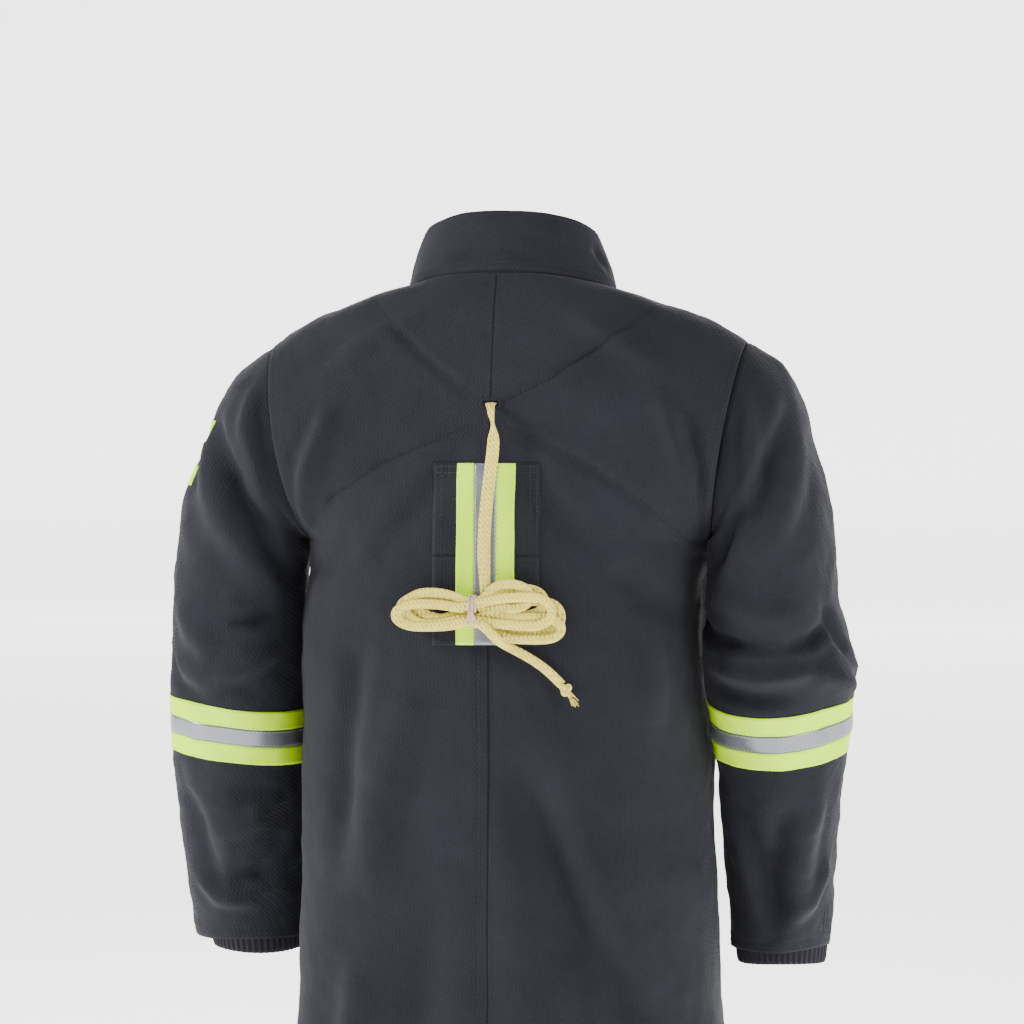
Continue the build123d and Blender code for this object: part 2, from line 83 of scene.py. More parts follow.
def node(tree, kind, links=(), operation=None, **values):
    """A shader node; links are (input, socket) pairs and values are set on the inputs they name."""
    made = tree.nodes.new("ShaderNode" + kind)
    if operation:
        made.operation = operation
    for name, value in values.items():
        made.inputs[name.replace("_", " ")].default_value = value
    for name, socket in links:
        tree.links.new(socket, made.inputs[name])
    return made


def grain(tree, where, kind, size):
    """The height pattern of a bump: noise, a woven grain or quilting."""
    if kind == "noise":
        return node(tree, "TexNoise", [("Vector", where)], Scale=1000 / size, Detail=4).outputs["Fac"]
    woven = kind == "weave"
    waves = []
    for turn in ((0, 0, 0.6), (0, 0.9, 0)) if woven else ((0, 0.785, 0), (0, -0.785, 0)):
        turned = node(tree, "Mapping", [("Vector", where)], Rotation=turn)
        wave = node(tree, "TexWave", [("Vector", turned.outputs[0])], Scale=1000 / size / 6.2832,
                    Distortion=0.6 if woven else 0.0)
        wave.bands_direction = "Z" if woven and turn[1] else "X"
        waves.append(wave)
    pairs = [(k, wave.outputs["Fac"]) for k, wave in enumerate(waves)]
    return node(tree, "Math", pairs, "ADD" if woven else "MINIMUM").outputs[0]


def material(name, colour, rough=0.85, sheen=0.25, bump=None, speckle=0.0, metallic=0.0, spec=0.3):
    """Principled cloth; bump is (kind, size in mm, strength, distance in mm)."""
    m = bpy.data.materials.new(name)
    m.use_nodes = True
    tree = m.node_tree
    bsdf = tree.nodes["Principled BSDF"]
    for key, value in (("Base Color", (*colour, 1)), ("Roughness", rough), ("Metallic", metallic),
                       ("Specular IOR Level", spec), ("Sheen Weight", sheen), ("Sheen Roughness", 0.5)):
        bsdf.inputs[key].default_value = value
    where = tree.nodes.new("ShaderNodeTexCoord").outputs["Object"]
    if speckle:
        fine = node(tree, "TexNoise", [("Vector", where)], Scale=420, Detail=3)
        broad = node(tree, "TexNoise", [("Vector", where)], Scale=14)
        both = node(tree, "Math", [(0, fine.outputs["Fac"]), (1, broad.outputs["Fac"])], "ADD")
        shade = node(tree, "MapRange", [("Value", both.outputs[0])], From_Min=0.6, From_Max=1.4,
                     To_Min=1 - speckle, To_Max=1 + speckle)
        tint = node(tree, "VectorMath", [("Scale", shade.outputs[0])], "SCALE")
        tint.inputs[0].default_value = colour
        tree.links.new(tint.outputs[0], bsdf.inputs["Base Color"])
    if bump:
        kind, size, strength, depth = bump
        raised = node(tree, "Bump", [("Height", grain(tree, where, kind, size))], Strength=strength,
                      Distance=depth * MM)
        tree.links.new(raised.outputs[0], bsdf.inputs["Normal"])
    return m


CLOTH = material("shell_cloth", (0.0088, 0.0090, 0.0130), 0.85, 0.03, ("weave", 1.5, 0.4, 0.35), 0.3, 0.0, 0.2)
LINER = material("liner_cloth", (0.30, 0.30, 0.31), 0.9, 0.2, ("quilt", 32, 0.9, 6), 0.06)
BARRIER = material("barrier_film", (0.52, 0.50, 0.46), 0.6, 0.1, ("noise", 3, 0.3, 0.3))
KNIT = material("knit", (0.007, 0.007, 0.010), 0.95, 0.05, ("noise", 1.2, 0.5, 0.4), 0.15)
LIME = material("trim_lime", (0.56, 0.90, 0.0), 0.7, 0.0, ("weave", 1.6, 0.25, 0.15), 0.03, 0.0, 0.08)
SILVER = material("trim_silver", (0.19, 0.19, 0.22), 0.38, 0.0, ("noise", 1.5, 0.15, 0.1), 0.05, 0.55, 0.6)
STRAP = material("rescue_webbing", (0.74, 0.62, 0.11), 0.85, 0.1, ("weave", 1.6, 1.0, 0.9), 0.16)
HARNESS = material("harness_webbing", (0.05, 0.05, 0.055), 0.85, 0.2, ("weave", 1.5, 0.6, 0.4))
TIE = material("tie_thread", (0.50, 0.36, 0.26), 0.8, 0.3, ("noise", 0.8, 0.5, 0.3), 0.15)
ZIP_CLOTH = material("zip_cloth", (0.014, 0.014, 0.017), 0.85, 0.2, ("weave", 1.0, 0.4, 0.2))
BRASS = material("zip_brass", (0.55, 0.42, 0.18), 0.35, 0.0, None, 0.0, 1.0, 0.5)
HOOK = material("hook_and_loop", (0.014, 0.014, 0.017), 1.0, 0.5, ("noise", 0.9, 0.9, 0.6), 0.2)
THREAD = material("thread", (0.011, 0.011, 0.016), 0.7, 0.05)
THREAD_LIME = material("thread_lime", (0.42, 0.66, 0.05), 0.7, 0.2)
# Painted seam shadow: a near-black colour for strips laid along seam grooves and in the slit's gap, standing
# in for the shade that falls there.
SEAM_SHADE = material("seam_shadow", (0.004, 0.004, 0.005), 1.0, 0.0)


# ------------------------------------------------------------------ mesh helpers
def unit(v):
    """Vectors along the last axis, made one long."""
    return v / np.maximum(np.linalg.norm(v, axis=-1, keepdims=True), 1e-9)


def run_along(points):
    """The distance along a polyline at each of its points."""
    return np.concatenate([[0], np.cumsum(np.linalg.norm(np.diff(points, axis=0), axis=1))])


def along(points, run, at):
    """The values of points at one or more distances along their run."""
    return np.stack([np.interp(at, run, points[:, k]) for k in range(points.shape[1])], -1)


def signed_power(v, power):
    return np.sign(v) * abs(v) ** power


def mesh(name, verts, faces, mat, body="coat", smooth=True, replaces=()):
    """A mesh object from millimetre vertices, riding on a body."""
    me = bpy.data.meshes.new(name)
    me.from_pydata([(x * MM, y * MM, z * MM) for x, y, z in verts], [], faces)
    me.validate()
    me.update()
    me.polygons.foreach_set("use_smooth", [smooth] * len(me.polygons))
    me.materials.append(mat)
    o = add(name, me)
    if replaces:
        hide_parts(*replaces)
    if body:
        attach(o, body)
    return o


def grid_faces(rows, cols, closed=False, flip=False, start=0):
    out = []
    for i in range(rows - 1):
        for j in range(cols if closed else cols - 1):
            a, b = start + i * cols, start + (i + 1) * cols
            k = (j + 1) % cols
            quad = (a + j, a + k, b + k, b + j)
            out.append(quad[::-1] if flip else quad)
    return out


def grid_normals(g, closed=False):
    """Unit normals of a (rows, cols, 3) grid."""
    across = np.roll(g, -1, 1) - np.roll(g, 1, 1) if closed else np.gradient(g, axis=1)
    return unit(np.cross(across, np.gradient(g, axis=0)))


def slab(name, top, low, mat, plain, closed=False, **kw):
    """A closed slab between two grids; plain says whether the plain winding faces out of the top."""
    rows, cols = top.shape[:2]
    c = rows * cols
    faces = grid_faces(rows, cols, closed, flip=not plain)
    faces += grid_faces(rows, cols, closed, flip=plain, start=c)
    rim = []
    if not closed:
        rim += [(i * cols, (i + 1) * cols) for i in range(rows - 1)]
        rim += [((i + 1) * cols + cols - 1, i * cols + cols - 1) for i in range(rows - 1)]
    for j in range(cols if closed else cols - 1):
        k = (j + 1) % cols
        rim += [(k, j), ((rows - 1) * cols + j, (rows - 1) * cols + k)]
    faces += [(p, q, q + c, p + c) if plain else (q, p, p + c, q + c) for p, q in rim]
    return mesh(name, np.vstack([top.reshape(-1, 3), low.reshape(-1, 3)]).tolist(), faces, mat, **kw)


def thick(name, g, normals, inner, outer, mat, closed=False, **kw):
    """A closed slab on a grid, between two offsets along its normals."""
    plain = float(np.sum(grid_normals(g, closed) * normals)) > 0
    return slab(name, g + normals * outer, g + normals * inner, mat, plain, closed, **kw)


def pchip(table, x):
    """Monotone cubic through (x, y) pairs."""
    xs, ys = np.array(sorted(table), float).T
    h = np.diff(xs)
    d = np.diff(ys) / h
    m = np.zeros(len(xs))
    m[0], m[-1] = d[0], d[-1]
    for i in range(1, len(xs) - 1):
        if d[i - 1] * d[i] > 0:
            w1, w2 = 2 * h[i] + h[i - 1], h[i] + 2 * h[i - 1]
            m[i] = (w1 + w2) / (w1 / d[i - 1] + w2 / d[i])
    x = np.clip(np.asarray(x, float), xs[0], xs[-1])
    i = np.clip(np.searchsorted(xs, x, side="right") - 1, 0, len(xs) - 2)
    s = (x - xs[i]) / h[i]
    return (ys[i] * (1 + 2 * s) * (1 - s) ** 2 + h[i] * m[i] * s * (1 - s) ** 2
            + ys[i + 1] * s * s * (3 - 2 * s) + h[i] * m[i + 1] * s * s * (s - 1))


def table_at(table, z):
    return np.interp(z, [t[0] for t in table], [t[1] for t in table])


def folds_on(place, table):
    """Folds (line, width, height, skew) whose (x, z) lines are carried onto the cloth by place."""
    return [([place(x, z) for x, z in line], *shape) for *shape, line in table]


def folds_at(points, normals, folds, gain=2.6):
    """How far each point moves out: a rounded ridge or dip along each fold's line, steeper to one side."""
    total = np.zeros(len(points))
    for line, width, height, skew in folds:
        line = np.array(line, float)
        run = run_along(line)
        best = np.full(len(points), 1e9)
        where = np.zeros(len(points))
        side = np.zeros(len(points))
        for k, seg in enumerate(np.diff(line, axis=0)):
            length = np.linalg.norm(seg)
            rel = points - line[k]
            t = np.clip(rel @ seg / length ** 2, 0, 1)
            off = rel - t[:, None] * seg
            away = np.linalg.norm(off, axis=1)
            near = away < best
            best = np.where(near, away, best)
            where = np.where(near, (run[k] + t * length) / run[-1], where)
            side = np.where(near, np.einsum("ij,ij->i", off, np.cross(normals, seg / length)), side)
        taper = np.sin(np.pi * np.clip(where * 0.96 + 0.02, 0, 1)) ** 0.6
        total += gain * taper * (height + skew * 1.6 * side / width) * np.exp(-(best / width) ** 2)
    return total


def rumple(points, size, height, seed):
    """Small random unevenness, larger in size and height as asked."""
    places = points / size + [seed, 0, 0]
    return height * np.array([noise.fractal(Vector(p), 0.8, 2.0, 3) for p in places])


# ------------------------------------------------------------------ the body's surface
# The armhole: a circle tilted out at its top.
R_ARM, ARM_X, ARM_Z, TILT = 91.0, 202.0, -152.0, math.radians(10)
ARM_TOP, ARM_LOW = -63.0, -241.6
# By height: how far the back stands behind MID, how much lower the front is, half the width, the squareness.
BACK = [(0, 85), (-50, 104), (-112, 118), (-200, 127), (-320, 131), (-450, 131), (-600, 133), (HEM, 140)]
DROP = [(0, 40), (-13, 37), (-29, 32), (-46, 25.5), (-58, 19), (-70, 13), (-88, 6), (-114, 0), (HEM, 0)]
WIDE = [(0, 97), (-13, 146), (-29, 188), (-46, 213), (-52, 218)]
WIDE_BELOW = [(ARM_LOW, 186.4), (-262, 185.5), (-400, 184), (-640, 187), (HEM, 208)]
SQUARE = [(0, 2.0), (-46, 2.1), (-88, 2.3), (-114, 2.4), (-216, 2.4), (-262, 2.5), (-400, 2.6), (HEM, 2.6)]
# The front's top edge, how far it stands before MID there, and how much further at the hem.
FRONT_TOP, FRONT_OUT, FRONT_LEAN = -40, 92, 50
# Half the width of the flat strip down the front.
FLAT = 36


def row(z, dense=240):
    """The left half's section, centre back to centre front; where its side is; its mean height."""
    back, drop, n = (float(pchip(table, z)) for table in (BACK, DROP, SQUARE))
    front = FRONT_OUT + (FRONT_TOP - z + drop) * FRONT_LEAN / (FRONT_TOP - HEM)
    slope = math.atan2(drop, back + front)
    mid = z - back * math.tan(slope)
    half = (back + front) / 2
    if ARM_LOW < mid < ARM_TOP and z < -50:
        t = (mid - ARM_Z) / math.cos(TILT)
        y = min(math.sqrt(max(R_ARM ** 2 - t * t, 0)), 0.97 * half)
        width = (ARM_X + (mid - ARM_Z) * math.tan(TILT)) / (1 - (y / half) ** n) ** (1 / n)
    elif mid <= ARM_LOW:
        width = float(pchip(WIDE_BELOW, mid))
    else:
        width = float(pchip(WIDE, z))
    back, front = back / math.cos(slope), front / math.cos(slope)
    a = np.linspace(math.pi / 2, 0, dense)
    ca, sa = np.clip(np.cos(a), 0, 1) ** (2 / n), np.clip(np.sin(a), 0, 1) ** (2 / n)
    rear = np.stack([width * ca, back * sa], 1)
    fore = np.stack([FLAT + (width - FLAT) * sa[1:], -front * ca[1:]], 1)
    line = np.vstack([rear, fore, [[0.0, -front]]])
    lying = [line[:, 0], MID + line[:, 1] * math.cos(slope), mid + line[:, 1] * math.sin(slope)]
    return np.stack(lying, 1), dense - 1, mid


def part_of(line, side, part):
    """The back's or the front's share of a section, from the centre to the side."""
    return line[: side + 1] if part == "back" else line[side:][::-1]


def resample(line, cols):
    run = run_along(line)
    return along(line, run, run[-1] * np.linspace(0, 1, cols))


def out_of_arm(p):
    """Distance outside the left armhole's plane."""
    return (p[:, 0] - ARM_X) * math.cos(TILT) - (p[:, 2] - ARM_Z) * math.sin(TILT)


# The zip's foot: above it the fronts stop at the zip, below it they meet.
ZIP_FOOT, ZIP_EDGE = -739, 8.0


def half_torso(part, heights, cols, stop=ZIP_EDGE, short=0.0):
    """A (rows, cols, 3) grid of the left back or front, cut at the armhole or a little short of it."""
    out = []
    for z in heights:
        line, side, mid = row(z)
        piece = part_of(line, side, part)
        if part == "front":
            edge_x = stop if stop > ZIP_EDGE else float(np.interp(z, [ZIP_FOOT - 5, ZIP_FOOT], [0.3, stop]))
            keep = piece[:, 0] >= edge_x
            edge = piece[max(np.argmax(keep) - 1, 0)].copy()
            edge[0] = edge_x
            piece = np.vstack([edge, piece[keep]])
        if mid > ARM_LOW - 0.6:
            d = out_of_arm(piece) + short
            past = np.nonzero(d > 0)[0]
            if len(past) and past[0] > 0:
                k = past[0]
                f = d[k - 1] / (d[k - 1] - d[k])
                piece = np.vstack([piece[:k], piece[k - 1] + f * (piece[k] - piece[k - 1])])
        out.append(resample(piece, cols))
    return np.array(out)


# The heights of the rows, closer together where the shape changes fast.
BANDS = ((0, -46, 16), (-49, -100, 22), (-104, -222, 34), (-225, -246, 14), (-250, HEM, 176))
ROWS = np.concatenate([np.linspace(*band) for band in BANDS])


def spot_on(part):
    """A function that carries (x, z) onto the undisturbed back or front."""
    def spot(x, z):
        line = part_of(*row(z, 90)[:2], part)
        return (x, *(float(np.interp(abs(x), line[:, 0], line[:, k])) for k in (1, 2)))
    return spot


# Folds are (width, height, skew, line), their lines as x and z seen from that side.
HARNESS_LINES = [
    [(118, -22), (83, -56), (46, -88), (12, -114)],
    [(17, -136), (46, -149), (100, -172), (146, -201), (183, -238)],
    [(-140, -31), (-100, -64), (-54, -95), (-12, -116)],
    [(-12, -138), (-50, -152), (-92, -174), (-137, -207), (-183, -254)]]
SEAM_FOLDS = folds_on(spot_on("back"), [
    (4.5, -0.8, -0.5, [(-1.5, -2), (-1.5, -300), (-1.5, -811)]),
    (5.0, -0.5, -0.5, [(10, -4), (10, -300), (10, -811)])])
HARNESS_FOLDS = folds_on(spot_on("back"), [(5.0, -1.1, 0.5, line) for line in HARNESS_LINES])
BACK_FOLDS = folds_on(spot_on("back"), [
    (26, -2.5, 5.0, [(-30, -415), (-62, -495), (-92, -580), (-140, -668)]),
    (16, 4.0, 2.0, [(-128, -295), (-136, -350), (-141, -405)]),
    (11, 3.0, -2.5, [(-152, -110), (-176, -175), (-182, -215)]),
    (8, -3.5, 1.5, [(-172, -140), (-186, -195), (-184, -235)]),
    (11, 2.6, 2.5, [(150, -120), (174, -178), (182, -225)]),
    (13, -1.6, 1.6, [(120, -246), (148, -266), (176, -276)]),
    (14, -1.9, 1.8, [(-110, -256), (-146, -288), (-172, -298)]),
    (24, 1.5, -3.0, [(60, -380), (90, -470), (104, -560)]),
    (18, -2.0, 2.4, [(110, -330), (128, -420), (132, -520)]),
    (28, 2.5, 1.5, [(-10, -480), (-18, -600), (-30, -720)]),
    (26, -2.5, 2.4, [(40, -560), (52, -680), (60, -790)]),
    (24, 3.0, -2.4, [(-90, -600), (-104, -700), (-112, -800)]),
    (20, 3.0, 2.0, [(120, -600), (134, -700), (146, -800)]),
    (12, 2.2, 1.2, [(-60, -40), (-105, -62), (-150, -92)]),
    (12, 1.8, -1.4, [(60, -40), (105, -60), (150, -90)]),
    (16, -1.6, 1.2, [(-20, -150), (-60, -205), (-104, -246)]),
    (16, -1.5, -1.2, [(24, -150), (66, -205), (112, -250)])])
FRONT_FOLDS = folds_on(spot_on("front"), [
    (18, -2.4, 2.4, [(60, -90), (110, -170), (168, -236)]),
    (18, -2.4, -2.2, [(-60, -90), (-112, -168), (-168, -232)]),
    (15, 2.6, 1.8, [(150, -260), (120, -320), (80, -350)]),
    (15, 2.4, -1.8, [(-150, -262), (-118, -330), (-84, -352)]),
    (18, 2.0, 2.4, [(70, -380), (80, -450), (84, -520)]),
    (18, -2.0, 2.4, [(-72, -390), (-84, -470), (-88, -520)]),
    (16, 2.6, -1.6, [(150, -330), (160, -450), (164, -560)]),
    (16, 2.4, 1.6, [(-150, -340), (-160, -450), (-166, -560)]),
    (10, 1.6, 1.2, [(70, -60), (110, -66), (160, -92)]),
    (10, 1.6, -1.2, [(-70, -60), (-112, -68), (-160, -94)])])
TORSO_FOLDS = ((SEAM_FOLDS, 1.3), (HARNESS_FOLDS, 2.9), (BACK_FOLDS, 3.0), (FRONT_FOLDS, 2.2))
# How much wider the worn coat is at its sides than the plain one, by height.
WIDER_LEFT = [(HEM, 9), (-320, 8), (-245, 0), (0, 0)]
WIDER_RIGHT = [(HEM, 3), (-600, 3), (-450, 0), (-400, -6), (-340, -9), (-280, -9), (-245, -3), (-235, 0)]
WIDER_RIGHT_FRONT = [(-460, 0), (-400, 5), (-275, 5), (-245, 0)]


def fade_at_edges(points):
    """0 at the neck seam and the armhole seam, 1 inside."""
    x, y, z = points.T
    arm = np.abs(out_of_arm(np.stack([np.abs(x), y, z], 1))) / 14
    neck = np.clip((-z - 0.2 * (y - 9)) / 20, 0, 1)
    return np.clip(np.where(z < -250, 1, arm), 0, 1) * neck


def outward(g):
    """A grid's normals, turned to face away from the coat's middle."""
    n = grid_normals(g)
    return n if float(np.sum(n[:, :, :2] * (g[:, :, :2] - [0, MID]))) > 0 else -n


def dress(g, s, part):
    """Mirror a left-hand grid if s is -1 and push its folds in; returns the grid and its normals."""
    g = g * [s, 1, 1]
    pts, normals = g.reshape(-1, 3), outward(g).reshape(-1, 3)
    x, y, z = pts.T
    move = sum(folds_at(pts, normals, folds, gain) for folds, gain in TORSO_FOLDS)
    move += rumple(pts, 95.0, 2.4, 3.1) + rumple(pts, 30.0, 0.8, 8.0)
    if part == "front":
        move *= np.clip((np.abs(x) - 34) / 26, 0, 1)
    wider = np.where(x > 0, table_at(WIDER_LEFT, z), table_at(WIDER_RIGHT, z))
    wider += table_at(WIDER_RIGHT_FRONT, z) * np.where(x < 0, np.clip((-80 - y) / 20, 0, 1), 0)
    move += wider * np.clip((np.abs(x) - 115) / 65, 0, 1) ** 1.5
    move *= fade_at_edges(pts)
    g = (pts + normals * move[:, None]).reshape(g.shape)
    n = outward(g)
    for _ in range(3):
        n[1:-1] = (n[:-2] + 2 * n[1:-1] + n[2:]) / 4
        n[:, 1:-1] = (n[:, :-2] + 2 * n[:, 1:-1] + n[:, 2:]) / 4
    return g, unit(n)


# ------------------------------------------------------------------ shell, liner, barrier and hem facing
# Each lining: name, inner and outer offset, rows, distance from the centre front, material, node.
LINED = [z for z in ROWS if z >= -788]
LININGS = (("liner", -7.4, -5.4, LINED, 42.0, LINER, "thermal_liner"),
           ("barrier", -4.4, -3.9, LINED, 42.0, BARRIER, "moisture_barrier"),
           ("hem_facing", -3.1, -2.2, [-790, -798, -806, -811], 27.0, CLOTH, "hem_facing"))


def torso(side, s, part, cols):
    g, n = dress(half_torso(part, ROWS, cols), s, part)
    shell = side + "_shell_" + part
    made = thick(shell + "_cloth", g, n, -1.6, 0.0, CLOTH, replaces=[shell])
    for name, inner, outer, heights, stop, mat, stands_for in LININGS:
        g, n = dress(half_torso(part, heights, 66, stop, 6.0), s, part)
        if name == "liner":
            quilt = np.sin((g[:, :, 0] + g[:, :, 2]) / 11.0) * np.sin((g[:, :, 0] - g[:, :, 2]) / 11.0)
            swell = 0.8 * np.abs(quilt)[:, :, None]
            inner, outer = inner - swell, outer - 0.2 * swell
        thick(name + "_" + side + "_" + part, g, n, inner, outer, mat, replaces=[stands_for])
    return made


def bvh(objs):
    verts, faces = [], []
    for o in objs:
        k = len(verts)
        verts += [v.co.copy() / MM for v in o.data.vertices]
        faces += [[i + k for i in p.vertices] for p in o.data.polygons]
    return BVHTree.FromPolygons(verts, faces)


SKIN = bvh([torso(side, s, part, cols) for side, s in SIDES for part, cols in (("back", 92), ("front", 70))])


def hit(origin, direction, tree=SKIN):
    """The first point of the cloth along a ray and the normal there, or two Nones."""
    p, n, _, _ = tree.ray_cast(Vector(origin), Vector(direction).normalized())
    return (np.array(p), np.array(n)) if p is not None else (None, None)


def back_hit(x, z, tree=SKIN):
    return hit((x, 300, z), (0, -1, 0), tree)


def front_hit(x, z):
    return hit((x, -500, z), (0, 1, 0))


# ------------------------------------------------------------------ sewn lines
STITCH, STITCH_GAP, STITCH_WIDTH, STITCH_HEIGHT = 2.6, 1.3, 0.5, 0.42


class Sewing:
    """Stitches, or dark seam ribbons of painted shade, gathered into one mesh."""

    def __init__(self):
        self.v, self.f = [], []

    def line(self, pts, normals, lift=0.1):
        """Stitches along a line: each is a small closed ridge lying on the cloth."""
        pts, normals = np.array(pts, float), np.array(normals, float)
        run = run_along(pts)
        at = 0.3
        while at + STITCH < run[-1]:
            a, b = along(pts, run, at), along(pts, run, at + STITCH)
            n = unit(along(normals, run, at + STITCH / 2))
            s = unit(np.cross(b - a, n))
            k = len(self.v)
            for p, up in ((a, lift - 0.25), ((a + b) / 2, lift + STITCH_HEIGHT), (b, lift - 0.25)):
                self.v += [tuple(p + n * up + s * q * STITCH_WIDTH / 2) for q in (-1, 1)]
            self.f += [(k, k + 1, k + 3, k + 2), (k + 2, k + 3, k + 5, k + 4), (k, k + 2, k + 4),
                       (k + 1, k + 5, k + 3), (k, k + 4, k + 5, k + 1)]
            at += STITCH + STITCH_GAP

    def ribbon(self, pts, normals, width, lift, depth=0.5):
        """A closed strip along a line, its top lifted off the cloth."""
        pts, normals = np.array(pts, float), np.array(normals, float)
        k = len(self.v)
        for p, n, s in zip(pts, normals, unit(np.cross(np.gradient(pts, axis=0), normals))):
            for up, across in ((lift, -1), (lift, 1), (lift - depth, 1), (lift - depth, -1)):
                self.v.append(tuple(p + n * up + s * across * width / 2))
        self.f += grid_faces(len(pts), 4, closed=True, start=k)
        last = k + 4 * (len(pts) - 1)
        self.f += [(k + 3, k + 2, k + 1, k), (last, last + 1, last + 2, last + 3)]

    def make(self, name, mat, body="coat"):
        return mesh(name, self.v, self.f, mat, body=body, smooth=False)


def drawn(points, cast, step=3.0):
    """Points and normals along an (x, z) polyline cast onto the cloth."""
    points = np.array(points, float)
    run = run_along(points)
    places = along(points, run, np.linspace(0, run[-1], max(int(run[-1] / step), 2)))
    found = [(p, n) for p, n in (cast(x, z) for x, z in places) if p is not None]
    return [p for p, _ in found], [n for _, n in found]


# The second gathers the dark ribbons of painted shade laid along seams.
sewing, seam_shades = Sewing(), Sewing()
SEAM_SHADE_WIDTH = 0.9


def sew(points, cast, offsets=(0.0,), seam=False):
    """Rows of stitches beside a line drawn on the cloth, and a dark ribbon of painted seam shadow along it if
    asked.
    """
    pts, normals = drawn(points, cast)
    if len(pts) < 3:
        return
    if seam:
        # A near-black ribbon of painted shade along the seam's groove.
        seam_shades.ribbon(pts, normals, SEAM_SHADE_WIDTH, 0.12)
    p, n = np.array(pts), np.array(normals)
    aside = unit(np.cross(np.gradient(p, axis=0), n))
    for offset in offsets:
        sewing.line(p + aside * offset, n)


# Centre back seam, its two rows of stitches to one side.
sew([(0.2, -3), (0.2, -811)], back_hit, (2.2, 8.5), seam=True)
# The stitched outline of the drag harness, an X across the back.
for line in HARNESS_LINES:
    sew(line, back_hit, (0.0, 6.0), seam=True)
# Hem.
for cast in (back_hit, front_hit):
    for _, s in SIDES:
        sew([(s * 9, -800), (s * 182, -800)], cast, (0, 5))
# Beside the armholes.
ARMHOLE = [(ARM_X + math.cos(a) * R_ARM * math.sin(TILT), math.cos(a) * R_ARM * math.cos(TILT))
           for a in np.linspace(0.12, math.pi - 0.1, 60)]
for _, s in SIDES:
    for cast in (back_hit, front_hit):
        for inset in (4.0, 10.5):
            found = [cast(s * (x - inset * 0.9), ARM_Z + up * (1 - inset / 160)) for x, up in ARMHOLE]
            found = [(p, n) for p, n in found if p is not None and abs(p[1] - MID) > 8]
            if len(found) > 4:
                sewing.line(*zip(*found))


# ------------------------------------------------------------------ collar
def collar_ring(t, inset):
    """One ring of the collar, t from 0 at its base to 1 at its top, open at the front."""
    back, back_z = 85 - 21 * t, 56 * t
    front, front_z = FRONT_OUT - 8 * t, FRONT_TOP + 48 * t
    slope = math.atan2(back_z - front_z, back + front)
    mid = back_z - back * math.tan(slope)
    bulge = 2.2 * math.sin(math.pi * min(t, 1)) - inset
    back = back / math.cos(slope) + bulge
    front = front / math.cos(slope) + min(bulge, 0.6 - inset)
    width = 97 - 17 * t + bulge
    a = np.linspace(math.pi / 2, 0, 200)
    rear = np.stack([width * np.cos(a), back * np.sin(a)], 1)
    fore = np.stack([FLAT + (width - FLAT) * np.sin(a[1:]), -front * np.cos(a[1:])], 1)
    line = np.vstack([rear, fore, [[3.0, -front]]])
    x, y = np.vstack([line[::-1], (line * [-1, 1])[1:]]).T
    return resample(np.stack([x, MID + y * math.cos(slope), mid + y * math.sin(slope)], 1), 181)


def inward(p):
    """The level direction from a point to the coat's upright middle line."""
    return unit(np.array([0, MID, p[2]]) - p)


COLLAR_FOLDS = [([(70, 0, 14), (30, -2, 16), (-10, -1, 20), (-55, -4, 8)], 7, -2.0, 1.2),
                ([(-60, -20, 30), (-40, -8, 40), (-20, -6, 46)], 7, 1.4, 0.8),
                ([(75, -40, -6), (60, -16, -2), (30, 2, 4)], 9, 1.6, 0.0),
                ([(-86, -60, 0), (-84, -40, 24)], 6, -1.4, 1.0)]
COLLAR_EDGE = ((1.0, 0.2), (1.015, 1.2), (1.02, 2.2), (1.015, 3.2), (1.0, 4.2))


def collar():
    """The collar as one closed shell: up its outside, over its rolled edge and down its lining."""
    outside = np.array([collar_ring(t, 0.0) for t in np.linspace(0.0, 0.97, 26)]
                       + [collar_ring(t, inset) for t, inset in COLLAR_EDGE])
    lining = np.array([collar_ring(t, 4.6) for t in np.linspace(0.97, 0.0, 20)])
    normals = outward(outside)
    pts = outside.reshape(-1, 3)
    move = folds_at(pts, normals.reshape(-1, 3), COLLAR_FOLDS) + rumple(pts, 40.0, 0.9, 2.2)
    fade = np.minimum(np.arange(len(outside)) / 4.0, 1)[:, None]
    lift = (move.reshape(outside.shape[:2]) * fade)[:, :, None] * normals
    same_height = np.linspace(25, 0, 20).astype(int)
    whole = np.vstack([outside + lift, lining + lift[same_height]])
    rows, cols = whole.shape[:2]
    faces = grid_faces(rows, cols)
    faces += [tuple(i * cols + j for i in range(rows)) for j in (0, cols - 1)]
    return mesh("collar", whole.reshape(-1, 3).tolist(), faces, CLOTH,
                replaces=["collar_outer", "collar_lining"])


COLLAR = bvh([collar()])
for level in (0.93, 0.06, 0.15):
    found = [hit(p - inward(p) * 20, inward(p), COLLAR) for p in collar_ring(level, -1.0)[6:-6]]
    sewing.line(*zip(*((p, n) for p, n in found if p is not None)))
# A dark ribbon of painted shade round the neck seam, under the collar's foot.
neck = collar_ring(0.0, -0.4)[4:-4]
seam_shades.ribbon(neck, [-inward(p) for p in neck], 1.6, 0.1)

# ------------------------------------------------------------------ sleeves
# Sections of the left sleeve: centre x and z, half width, half depth, centre y, turn from upright in degrees.
SLEEVE = [
    (202.3, -152.05, 91, 91, MID, 10), (212.0, -158.0, 88.5, 91, MID, 16.5), (224.0, -166.5, 83, 90, MID, 25),
    (238.0, -198.0, 66.5, 84.5, MID + 1, 46), (246.5, -228.0, 61.5, 80, MID + 2, 68),
    (250.5, -262.0, 59.5, 76, MID + 3, 88), (253.5, -345.0, 61.5, 70.5, MID + 4, 90),
    (253.5, -450.0, 60.5, 65.5, MID - 18, 90), (250.5, -560.0, 56.5, 59.5, MID - 50, 90),
    (248.5, -620.0, 53, 55, MID - 66, 90)]
ARC = run_along(np.array([(x, z, y) for x, z, _, _, y, _ in SLEEVE]))
U_END = ARC[-1]
PHI = np.linspace(0, 2 * math.pi, 97)[:-1]


